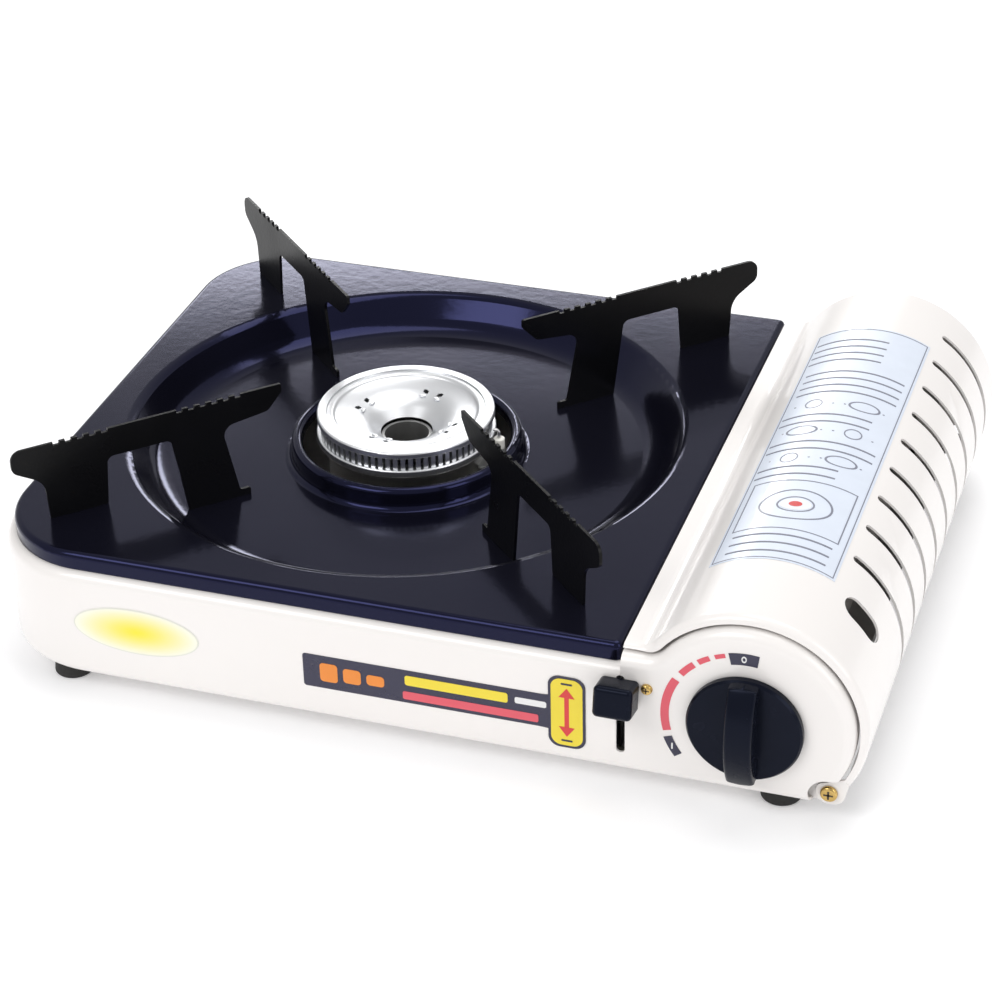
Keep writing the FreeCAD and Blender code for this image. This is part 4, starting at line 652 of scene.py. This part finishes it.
    def build_strip(self, navy: Any, white: Any, pink: Any) -> None:
        """Dark strip with plain bars, ending in the lever's upright gauge.

        Args:
            navy: ground material.
            white: light print.
            pink: red print.
        """
        left, low, right, high = self.strip
        half_x, half_z = self.gauge_half
        inner, outer = self.gauge_corners
        border = self.gauge_border
        middle = ((left + right) / 2, (low + high) / 2)
        ground = [
            self.lay(lozenge(middle, ((right - left) / 2, (high - low) / 2), self.strip_corner)),
            self.lay(lozenge(self.gauge, (half_z + border, half_x + border), outer, upright=True), 1),
            self.lay(self.flare(), 0.5),
        ]
        field = self.lay(lozenge(self.gauge, (half_z, half_x), inner, upright=True), 2)
        yellow = printed("gauge_yellow", (0.90, 0.72, 0.03))
        orange = printed("strip_orange", (0.86, 0.26, 0.02))
        red = printed("arrow_red", (0.72, 0.03, 0.03))
        self.put("front_strip", ground, navy)
        self.put("strip_yellow", [self.lay(self.yellow_bar.sides(), 1), field], yellow)
        self.put("strip_orange", self.blocks(), orange)
        self.put("strip_white", [self.lay(self.white_bar.sides(), 1)], white)
        self.put("strip_pink", [self.lay(self.pink_bar.sides(), 1)], pink)
        self.put("gauge_arrow", self.arrow(), red)
        self.put("gauge_ticks", self.ticks(), navy)

    def blocks(self) -> list[Shell]:
        """Row of blocks, each lower than the one before.

        Returns:
            Their films.
        """
        (across, up), (half_x, half_z) = self.first_block.centre, self.first_block.half
        films: list[Shell] = []
        for step in range(self.block_count):
            block = Bar((across + self.block_pitch * step, up), (half_x, half_z - self.block_shrink * step),
                        self.first_block.corner)
            films.append(self.lay(block.sides(), 1))
        return films

    def flare(self) -> Sides:
        """Curved widening from the strip to the gauge.

        Returns:
            Its lower and upper lines.
        """
        _, low, right, high = self.strip
        start = right - self.flare_overlap
        most = self.gauge_half[1] - (high - low) / 2 - self.flare_short
        lower: list[Point] = []
        upper: list[Point] = []
        for step in range(self.flare_steps + 1):
            share = step / self.flare_steps
            across = start + share * (self.gauge[0] - start)
            grow = (1.0 - sqrt(max(0.0, 1.0 - share ** 2))) * most
            lower.append((across, low - grow))
            upper.append((across, high + grow))
        return lower, upper

    def arrow(self) -> list[Shell]:
        """Upright arrow with a head at each end.

        Returns:
            Its films.
        """
        x, z = self.gauge
        half_head, head = self.arrow_head
        reach = self.gauge_half[1] - self.arrow_inset
        shaft = lozenge(self.gauge, (reach - self.shaft_short, self.shaft_half), self.shaft_corner, upright=True)
        shells = [self.lay(shaft, 2.5)]
        for side in (-1, 1):
            base = z + side * (reach - head)
            tip = z + side * reach
            wide = [(x - half_head, base), (x + half_head, base)]
            fine = [(x - self.arrow_tip, tip), (x + self.arrow_tip, tip)]
            shells.append(self.lay((wide, fine) if side > 0 else (fine, wide), 3))
        return shells

    def ticks(self) -> list[Shell]:
        """Marks at both ends of the gauge.

        Returns:
            Their films.
        """
        reach = self.gauge_half[1] - self.tick.centre[1]
        spots = [(self.gauge[0], self.gauge[1] + side * reach) for side in (-1, 1)]
        return [self.lay(lozenge(spot, self.tick.half, self.tick.corner), 3) for spot in spots]

    def build_screw_slots(self) -> None:
        """Painted shade of the cross recesses in the brass screws of the front: dark crosses laid on the screw
        heads.
        """
        # Painted shade: a dark brown stands for the shade inside each screw's cross recess.
        dark = printed("recess_dark", (0.05, 0.03, 0.01), 0.6)
        length, width, corner = self.cross
        shells = []
        for node in ("lever_screw", "hinge_screws"):
            low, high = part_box(node)
            middle = ((low[0] + high[0]) / 2, (low[2] + high[2]) / 2)
            reach = (high[2] - low[2]) * length
            lift = self.face - low[1] - self.film - self.gap + self.cross_proud
            for upright in (False, True):
                shells.append(self.lay(lozenge(middle, (reach, reach * width), reach * corner, upright), lift=lift))
        self.put("screw_crosses", shells, dark, Slot.BRASS)


@dataclass
class LidLabel:
    """Pale printed panel wrapped over the lid."""

    centre: Point = (0.179, 0.040)
    radius: float = 0.045
    span: Point = (61.0, 125.0)
    depth: Point = (-0.0915, 0.0945)
    film: float = 0.00012
    gap: float = 0.00005
    panel_steps: int = 32
    line_pitch: float = 0.0058
    line_width: float = 0.0009
    line_points: int = 20
    line_groups: tuple[tuple[float, int, float, float], ...] = (
        (0.006, 3, 118.0, 50.0), (0.063, 2, 122.0, 42.0), (0.083, 2, 122.0, 56.0),
        (0.105, 2, 122.0, 48.0), (0.130, 4, 120.0, 54.0), (0.158, 4, 122.0, 40.0))
    frame_inset: float = 0.001
    frame_width: float = 0.0004
    field_inset: float = 0.004
    field_depth: Point = (0.022, 0.058)
    field_width: float = 0.0005
    icon_counts: tuple[int, int] = (3, 2)
    icon_start: Point = (0.014, 0.076)
    icon_pitch: Point = (0.021, 0.022)
    icon_ring: Point = (0.0032, 0.0037)
    icon_stretch: float = 0.8
    icon_bar: Bar = Bar((0.0, -0.0002), (0.0085, 0.0003), 0.0002)
    target_depth: float = 0.040
    target_rings: tuple[Point, ...] = ((0.0102, 0.0108), (0.0050, 0.0055))
    target_squash: float = 1.35
    white_half: Point = (0.0062, 0.0042)
    red_half: Point = (0.0026, 0.0018)

    def on(self, along: float, depth: float, lift: float) -> Vector:
        """Point above the lid.

        Args:
            along: arc length, counted clockwise from the top.
            depth: place along Y.
            lift: height above the lid.

        Returns:
            The point.
        """
        turn = pi / 2 - along / self.radius
        reach = self.radius + lift
        return Vector((self.centre[0] + reach * cos(turn), depth, self.centre[1] + reach * sin(turn)))

    def along(self, angle: float) -> float:
        """Arc length of an angle above +X."""
        return radians(90.0 - angle) * self.radius

    def lay(self, lines: Sides, layer: int) -> Shell:
        """Film on the lid, on top of earlier layers."""
        return ribbon(lines, self.on, self.gap + layer * self.film, self.film)

    def bar(self, start: float, end: float, low: float, high: float, steps: int = 16) -> Sides:
        """Straight bar that follows the lid's curve."""
        across = [start + (end - start) * step / steps for step in range(steps + 1)]
        return [(u, low) for u in across], [(u, high) for u in across]

    def outline(self, start: float, end: float, low: float, high: float, width: float) -> list[Shell]:
        """Four bars that frame a field.

        Args:
            start: first arc length.
            end: last arc length.
            low: front of the field.
            high: back of the field.
            width: width of the bars.

        Returns:
            Their films.
        """
        bars = (
            self.bar(start, end, low, low + width),
            self.bar(start, end, high - width, high),
            self.bar(start, start + width, low + width, high - width, 1),
            self.bar(end - width, end, low + width, high - width, 1),
        )
        return [self.lay(bar, 1) for bar in bars]

    def icons(self, left: float, low: float) -> list[Shell]:
        """Plain rings, each with a bar across it.

        Args:
            left: arc length of the panel's edge.
            low: front of the panel.

        Returns:
            Their films.
        """
        films: list[Shell] = []
        for row in range(self.icon_counts[0]):
            for column in range(self.icon_counts[1]):
                along = left + self.icon_start[0] + self.icon_pitch[0] * column
                depth = low + self.icon_start[1] + self.icon_pitch[1] * row
                stretch = 1.0 + self.icon_stretch * ((row + column) % 2)
                ring = sector((along, depth), *self.icon_ring, 0.0, 360.0, stretch)
                bar = lozenge((along, depth + self.icon_bar.centre[1]), self.icon_bar.half, self.icon_bar.corner)
                films += [self.lay(ring, 1), self.lay(bar, 1)]
        return films

    def build(self) -> None:
        """Makes the panel, its frames, plain ruled lines and plain outline shapes."""
        ground = printed("panel_blue", (0.76, 0.82, 0.93), 0.3)
        ink = printed("panel_ink", (0.22, 0.23, 0.29), 0.5)
        light = printed("panel_white", (0.86, 0.88, 0.92), 0.4)
        red = printed("panel_red", (0.70, 0.05, 0.05))
        left, right = self.along(self.span[1]), self.along(self.span[0])
        low, high = self.depth
        centre = ((left + right) / 2, low + self.target_depth)
        inset, field = self.frame_inset, self.field_inset
        near, far = (low + depth for depth in self.field_depth)
        drawn = self.outline(left + inset, right - inset, low + inset, high - inset, self.frame_width)
        drawn += self.outline(left + field, right - field, near, far, self.field_width)
        drawn += self.icons(left, low)
        drawn += [self.lay(sector(centre, *ring, 0.0, 360.0, self.target_squash), 1) for ring in self.target_rings]
        pieces = (
            ("lid_panel", [self.lay(self.bar(left, right, low, high, self.panel_steps), 0)], ground),
            ("panel_frames", drawn, ink),
            ("panel_white_field", [self.lay(lozenge(centre, self.white_half, 0.0), 1)], light),
            ("panel_red_spot", [self.lay(lozenge(centre, self.red_half, 0.0), 2)], red),
        )
        for name, shells, material in pieces:
            dress(solid(name, shells), material, "lid", Slot.CREAM)
        for index, (depth, count, start, sweep) in enumerate(self.line_groups):
            lines = self.ruled("panel_lines_%d" % index, low + depth, count, start, sweep, ink)
            dress(lines, ink, "lid", Slot.CREAM)

    def ruled(self, name: str, depth: float, count: int, start: float, sweep: float, ink: Any) -> bpy.types.Object:
        """Ruled lines that stand for rows of print.

        Args:
            name: object name.
            depth: place of the first line.
            count: number of lines.
            start: angle where the lines begin.
            sweep: how far they run.
            ink: their material.

        Returns:
            The lines as one mesh.
        """
        pattern = Pattern(name)
        radius = pattern.size("Radius", self.radius + self.gap + 1.5 * self.film)
        first = pattern.size("Start", radians(start - sweep))
        turn = pattern.size("Sweep", radians(sweep))
        rows = pattern.size("Rows", count, "NodeSocketInt")
        arc = pattern.node("GeometryNodeCurveArc", {"mode": "RADIUS"}, {
            "Resolution": self.line_points, "Radius": radius, "Start Angle": first, "Sweep Angle": turn})
        profile = pattern.node("GeometryNodeCurvePrimitiveQuadrilateral", {"mode": "RECTANGLE"},
                               {"Width": self.film, "Height": self.line_width})
        tube = pattern.node("GeometryNodeCurveToMesh", inputs={
            "Curve": arc.outputs["Curve"], "Profile Curve": profile.outputs[0], "Fill Caps": True})
        stood = pattern.node("GeometryNodeTransform", inputs={
            "Geometry": tube.outputs[0], "Rotation": (pi / 2, 0.0, 0.0),
            "Translation": (self.centre[0], 0.0, self.centre[1])})
        line = pattern.node("GeometryNodeMeshLine", {"mode": "OFFSET"}, {
            "Count": rows, "Start Location": (0.0, depth, 0.0), "Offset": (0.0, self.line_pitch, 0.0)})
        copies = pattern.node("GeometryNodeInstanceOnPoints",
                              inputs={"Points": line.outputs[0], "Instance": stood.outputs[0]})
        return pattern.bake(name, copies.outputs[0], ink)


def eased(corners: Sequence[Point], rounds: int, step: float) -> list[Point]:
    """Open line with its corners cut smooth, in short even steps.

    Args:
        corners: the line's corners.
        rounds: how often each corner is cut.
        step: longest run that is left.

    Returns:
        The line's points.
    """
    line = [Vector(corner) for corner in corners]
    for _ in range(rounds):
        cut = [line[0]]
        for first, second in zip(line, line[1:]):
            cut += [first.lerp(second, CUT_SHARE), first.lerp(second, 1.0 - CUT_SHARE)]
        line = cut + [line[-1]]
    points: list[Point] = []
    for first, second in zip(line, line[1:]):
        count = max(1, ceil((second - first).length / step))
        points += [tuple(first.lerp(second, index / count)) for index in range(count)]
    return points + [tuple(line[-1])]


def rounded_off(piece: bpy.types.Object, thickness: float = 0.0) -> bpy.types.Object:
    """Closes a piece's seams, turns its faces outwards and shades it smooth.

    Args:
        piece: the object.
        thickness: wall given to an open surface, below its faces; 0 leaves it as it is.

    Returns:
        The same object.
    """
    shape = bmesh.new()
    shape.from_mesh(piece.data)
    bmesh.ops.remove_doubles(shape, verts=shape.verts, dist=WELD_DISTANCE)
    if thickness == 0.0:
        bmesh.ops.recalc_face_normals(shape, faces=shape.faces)
    shape.to_mesh(piece.data)
    shape.free()
    if thickness > 0.0:
        wall = piece.modifiers.new("wall", "SOLIDIFY")
        wall.thickness = thickness
        wall.offset = -1.0
        evaluated = piece.evaluated_get(bpy.context.evaluated_depsgraph_get())
        piece.data = bpy.data.meshes.new_from_object(evaluated)
        piece.modifiers.remove(wall)
    piece.data.polygons.foreach_set("use_smooth", [True] * len(piece.data.polygons))
    piece.data.set_sharp_from_angle(angle=SHARP_ANGLE)
    return piece


def spun(profile: Sequence[Point], place: Surface, steps: int, closed: bool = False,
         keep: Callable[[float, float], bool] | None = None) -> Shell:
    """Vertices and faces of a profile turned about an axis.

    Args:
        profile: (radius, along) points.
        place: maps (radius, along, turn) to the row frame.
        steps: how many copies of the profile.
        closed: whether the profile's end joins its start.
        keep: whether the face at a radius and turn is kept.

    Returns:
        Vertices and faces.
    """
    count = len(profile)
    verts = [place(radius, along, 2.0 * pi * step / steps) for step in range(steps) for radius, along in profile]
    faces: Faces = []
    for step in range(steps):
        here, there = step * count, (step + 1) % steps * count
        for index in range(count if closed else count - 1):
            following = (index + 1) % count
            radius = (profile[index][0] + profile[following][0]) / 2
            if keep is None or keep(radius, 2.0 * pi * (step + 0.5) / steps):
                faces.append((here + index, here + following, there + following, there + index))
    return verts, faces


@dataclass
class Burner:
    """Dish of the burner with its funnel and slits, the air sleeve's mouth and the lips beside the slits."""

    rim_height: float = 0.0701
    corners: tuple[Point, ...] = ((0.0330, 0.0), (0.0304, 0.0), (0.0292, -0.0016), (0.0180, -0.0040),
                                  (0.0108, -0.0100))
    rounds: int = 3
    run: float = 0.0006
    dish_turns: int = 180
    sleeve_turns: int = 72
    sheet: float = 0.0012
    pairs: int = 4
    pair_turn: float = -12.0
    slit_radius: float = 0.0215
    slit_apart: float = 0.0070
    slit_half: Point = (0.0009, 0.0013)
    sleeve: Triple = (0.0093, 0.0105, 0.0588)
    lip_radius: float = 0.0191
    lip_turn: float = 10.4
    lip_height: float = 0.0663
    lip: Triple = (0.0009, 0.0016, 0.0005)
    lip_faces: tuple[int, int] = (16, 9)

    def about(self, radius: float, along: float, turn: float) -> Vector:
        """Point round the burner's axis."""
        return Vector((radius * cos(turn), radius * sin(turn), along))

    def is_metal(self, radius: float, turn: float) -> bool:
        """Whether the dish is whole at a place.

        Args:
            radius: distance from the axis.
            turn: angle round it.

        Returns:
            False inside a slit.
        """
        for index in range(self.pairs):
            local = turn - radians(self.pair_turn + 360.0 / self.pairs * index)
            out, side = radius * cos(local), radius * sin(local)
            beside = abs(abs(side) - self.slit_apart / 2) < self.slit_half[1]
            if abs(out - self.slit_radius) < self.slit_half[0] and beside:
                return False
        return True

    def build(self) -> None:
        """Makes the dish, the mouth of the sleeve and the lips."""
        metal = FINISHES[Slot.ALUMINIUM].make()
        line = [(radius, self.rim_height + drop) for radius, drop in eased(self.corners, self.rounds, self.run)]
        shell = spun(line[::-1], self.about, self.dish_turns, keep=self.is_metal)
        dish = dress(rounded_off(solid("dish_funnel", [shell]), self.sheet), metal, "body", Slot.ALUMINIUM)
        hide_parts("burner_dish")
        inner, outer, top = self.sleeve
        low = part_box("air_sleeve")[0][2]
        wall = [(inner, low), (outer, low), (outer, top), (inner, top)]
        tube = spun(wall, self.about, self.sleeve_turns, closed=True)
        plated = FINISHES[Slot.PLATED].make()
        sleeve = dress(rounded_off(solid("sleeve_mouth", [tube])), plated, "body", Slot.PLATED)
        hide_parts("air_sleeve")
        for index, side in enumerate((-1, 1)):
            name = "dish_lips_%d" % index
            turn = radians(self.pair_turn + side * self.lip_turn)
            dress(self.ring(name, turn, metal), metal, "body", Slot.ALUMINIUM)

    def ring(self, name: str, turn: float, metal: Any) -> bpy.types.Object:
        """Lips repeated round the burner's axis.

        Args:
            name: object name.
            turn: angle of the first lip.
            metal: their material.

        Returns:
            The lips as one mesh.
        """
        pattern = Pattern(name)
        count = pattern.size("Count", self.pairs, "NodeSocketInt")
        reach = pattern.size("Radius", self.lip_radius)
        ring = pattern.node("GeometryNodeMeshCircle", inputs={"Vertices": count, "Radius": reach})
        lip = pattern.node("GeometryNodeMeshUVSphere", inputs={
            "Segments": self.lip_faces[0], "Rings": self.lip_faces[1], "Radius": 1.0})
        shaped = pattern.node("GeometryNodeTransform", inputs={"Geometry": lip.outputs[0], "Scale": self.lip})
        place = pattern.node("GeometryNodeInputPosition")
        turned = pattern.node("FunctionNodeAlignEulerToVector", {"axis": "X"}, {"Vector": place.outputs[0]})
        copies = pattern.node("GeometryNodeInstanceOnPoints", inputs={
            "Points": ring.outputs[0], "Instance": shaped.outputs[0], "Rotation": turned.outputs[0]})
        lifted = pattern.node("GeometryNodeTransform", inputs={
            "Geometry": copies.outputs[0], "Translation": (0.0, 0.0, self.lip_height), "Rotation": (0.0, 0.0, turn)})
        return pattern.bake(name, lifted.outputs[0], metal)


@dataclass
class Knob:
    """Knob with a thin skirt and a crowned grip across it."""

    centre: Point = (0.179, 0.040)
    back: float = -0.1356
    skirt: tuple[Point, ...] = ((0.0, 0.0), (0.0220, 0.0), (0.0220, 0.0022), (0.0212, 0.0032), (0.0, 0.0034))
    reach: float = 0.0214
    half_width: float = 0.0053
    depth: float = 0.0136
    crown: float = 0.0066
    base: float = 0.0020
    edge: float = 0.0015
    edge_share: float = 0.6
    edge_steps: int = 6
    crown_power: float = 2.2
    tip: float = 0.001
    run: float = 0.004
    turns: int = 120
    rows: int = 56

    def about(self, radius: float, along: float, turn: float) -> Vector:
        """Point round the knob's axis, counted forwards from its back."""
        return Vector((self.centre[0] + radius * cos(turn), self.back - along,
                       self.centre[1] + radius * sin(turn)))

    def section(self, share: float) -> list[Vector]:
        """Outline of the grip across its length.

        Args:
            share: place along the grip, -1 at the bottom and 1 at the top.

        Returns:
            Points from one foot over the crown to the other.
        """
        half = min(self.half_width, self.reach * sqrt(max(self.tip, 1.0 - share ** 2)))
        front = self.depth - self.crown * abs(share) ** self.crown_power
        edge = min(self.edge, half * self.edge_share)
        points = [(-half, self.base)]
        for step in range(self.edge_steps + 1):
            turn = pi - pi / 2 * step / self.edge_steps
            points.append((-half + edge + edge * cos(turn), front - edge + edge * sin(turn)))
        points += [(-across, depth) for across, depth in points[::-1]]
        up = self.centre[1] + share * self.reach
        return [Vector((self.centre[0] + across, self.back - depth, up)) for across, depth in points]

    def build(self) -> None:
        """Makes the skirt and the grip."""
        plastic = FINISHES[Slot.PLASTIC].make()
        skirt = spun(eased(self.skirt, 0, self.run), self.about, self.turns)
        steps = self.rows
        rows = [self.section(sin(pi / 2 * (2.0 * step / steps - 1.0))) for step in range(steps + 1)]
        width = len(rows[0])
        verts = [point for row in rows for point in row]
        faces: Faces = [tuple(range(width)), tuple(steps * width + index for index in range(width))]
        for step in range(steps):
            for index in range(width):
                following = (index + 1) % width
                faces.append((step * width + index, step * width + following,
                              (step + 1) * width + following, (step + 1) * width + index))
        knob = dress(rounded_off(solid("knob_grip", [skirt, (verts, faces)])), plastic, "knob", Slot.PLASTIC)
        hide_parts("knob")


@dataclass
class CadFinishes:
    """Finishes of the pieces that stay as the CAD has them."""

    support_prefix: str = "pan_support"

    def build(self) -> None:
        """Gives every CAD node the finish of its slot."""
        made = {slot.value: finish.make() for slot, finish in FINISHES.items()}
        support = SUPPORT_FINISH.make()
        for part in frame["record"]["subparts"]:
            node = part["node"]
            piece = frame["nodes"][node]
            material = support if node.startswith(self.support_prefix) else made[part["material_slot"]]
            for place in piece.material_slots:
                place.material = material
            log.info("node %s in %s", node, material.name)


@dataclass(frozen=True)
class Lamp:
    """Soft rectangular lamp, in metres and watts."""

    name: str
    spot: Triple
    size: Point
    power: float


@dataclass
class Studio:
    """Camera of the photograph, pale floor and soft lights."""

    target: Triple = (0.0566, -0.0478, 0.064)
    distance: float = 1.1306
    azimuth: float = 18.87
    elevation: float = 31.78
    roll: float = -1.44
    lens: float = 102.5
    sensor: float = 36.0
    floor_reach: float = 6.0
    floor_glow: float = 0.16
    world_glow: float = 0.55
    lamps: tuple[Lamp, ...] = (
        Lamp("key_softbox", (-0.55, -1.15, 1.25), (0.9, 0.7), 9.0),
        Lamp("top_softbox", (0.25, 0.35, 1.5), (1.0, 1.0), 8.0),
        Lamp("right_softbox", (1.3, -0.5, 0.7), (0.5, 0.9), 4.0),
        Lamp("back_strip", (-0.35, 1.2, 0.55), (0.9, 0.16), 3.6),
    )

    def build(self) -> None:
        """Sets up the camera, the floor, the lights and the world."""
        self.build_camera()
        self.build_floor()
        for lamp in self.lamps:
            self.build_light(lamp)
        self.build_world()
        bpy.context.scene.view_settings.view_transform = "Standard"

    def build_camera(self) -> None:
        """Places the camera."""
        turn, rise, roll = (radians(value) for value in (self.azimuth, self.elevation, self.roll))
        back = Vector((sin(turn) * cos(rise), -cos(turn) * cos(rise), sin(rise)))
        right = Vector((cos(turn), sin(turn), 0.0))
        up = back.cross(right)
        rolled_right = right * cos(roll) + up * sin(roll)
        rolled_up = up * cos(roll) - right * sin(roll)
        data = bpy.data.cameras.new("camera")
        data.lens = self.lens
        data.sensor_width = self.sensor
        camera = placed("camera", data)
        matrix = Matrix((rolled_right, rolled_up, back)).transposed().to_4x4()
        matrix.translation = Vector(self.target) + back * self.distance
        camera.matrix_world = matrix
        bpy.context.scene.camera = camera

    def build_floor(self) -> None:
        """Pale floor that reaches past the view."""
        reach = self.floor_reach
        mesh = bpy.data.meshes.new("floor")
        corners = [(x * reach, y * reach, 0.0) for x, y in ((-1, -1), (1, -1), (1, 1), (-1, 1))]
        mesh.from_pydata(corners, [], [tuple(range(4))])
        floor = placed("floor", mesh)
        material = Finish("pale_floor", (0.93, 0.93, 0.94), (0.91, 0.91, 0.92), 0.7, 0.02, specular=0.1,
                          grain_depth=0.0).make()
        shader = material.node_tree.nodes["Principled BSDF"]
        shader.inputs["Emission Color"].default_value = (1.0, 1.0, 1.0, 1.0)
        shader.inputs["Emission Strength"].default_value = self.floor_glow
        mesh.materials.append(material)

    def build_light(self, lamp: Lamp) -> None:
        """Aims one lamp at the stove.

        Args:
            lamp: its place, size and power.
        """
        data = bpy.data.lights.new(lamp.name, "AREA")
        data.shape = "RECTANGLE"
        data.size, data.size_y = lamp.size
        data.energy = lamp.power
        light = placed(lamp.name, data)
        light.location = lamp.spot
        light.rotation_euler = (Vector(self.target) - Vector(lamp.spot)).to_track_quat("-Z", "Y").to_euler()

    def build_world(self) -> None:
        """White surroundings for the camera and transmission, softer for reflections and as light."""
        world = bpy.data.worlds.new("studio")
        bpy.context.scene.world = world
        world.use_nodes = True
        graph = Graph(world.node_tree)
        path = graph.node("ShaderNodeLightPath").outputs
        seen = graph.node("ShaderNodeMath", {"operation": "MAXIMUM"},
                          {0: path["Is Camera Ray"], 1: path["Is Transmission Ray"]})
        strength = graph.node("ShaderNodeMath", {"operation": "MULTIPLY_ADD"},
                              {0: seen.outputs[0], 1: 1.0 - self.world_glow, 2: self.world_glow})
        ground = graph.tree.nodes["Background"]
        graph.feed(ground, "Color", (1.0, 1.0, 1.0, 1.0))
        graph.feed(ground, "Strength", strength.outputs[0])


def main() -> None:
    """Builds the studio, the finishes and every new piece in order."""
    logging.basicConfig(level=logging.INFO, format="%(message)s")
    for part in (Studio(), CadFinishes(), FrontPanel(), LidLabel(), Burner(), Knob()):
        part.build()


if __name__ == "__main__":
    main()
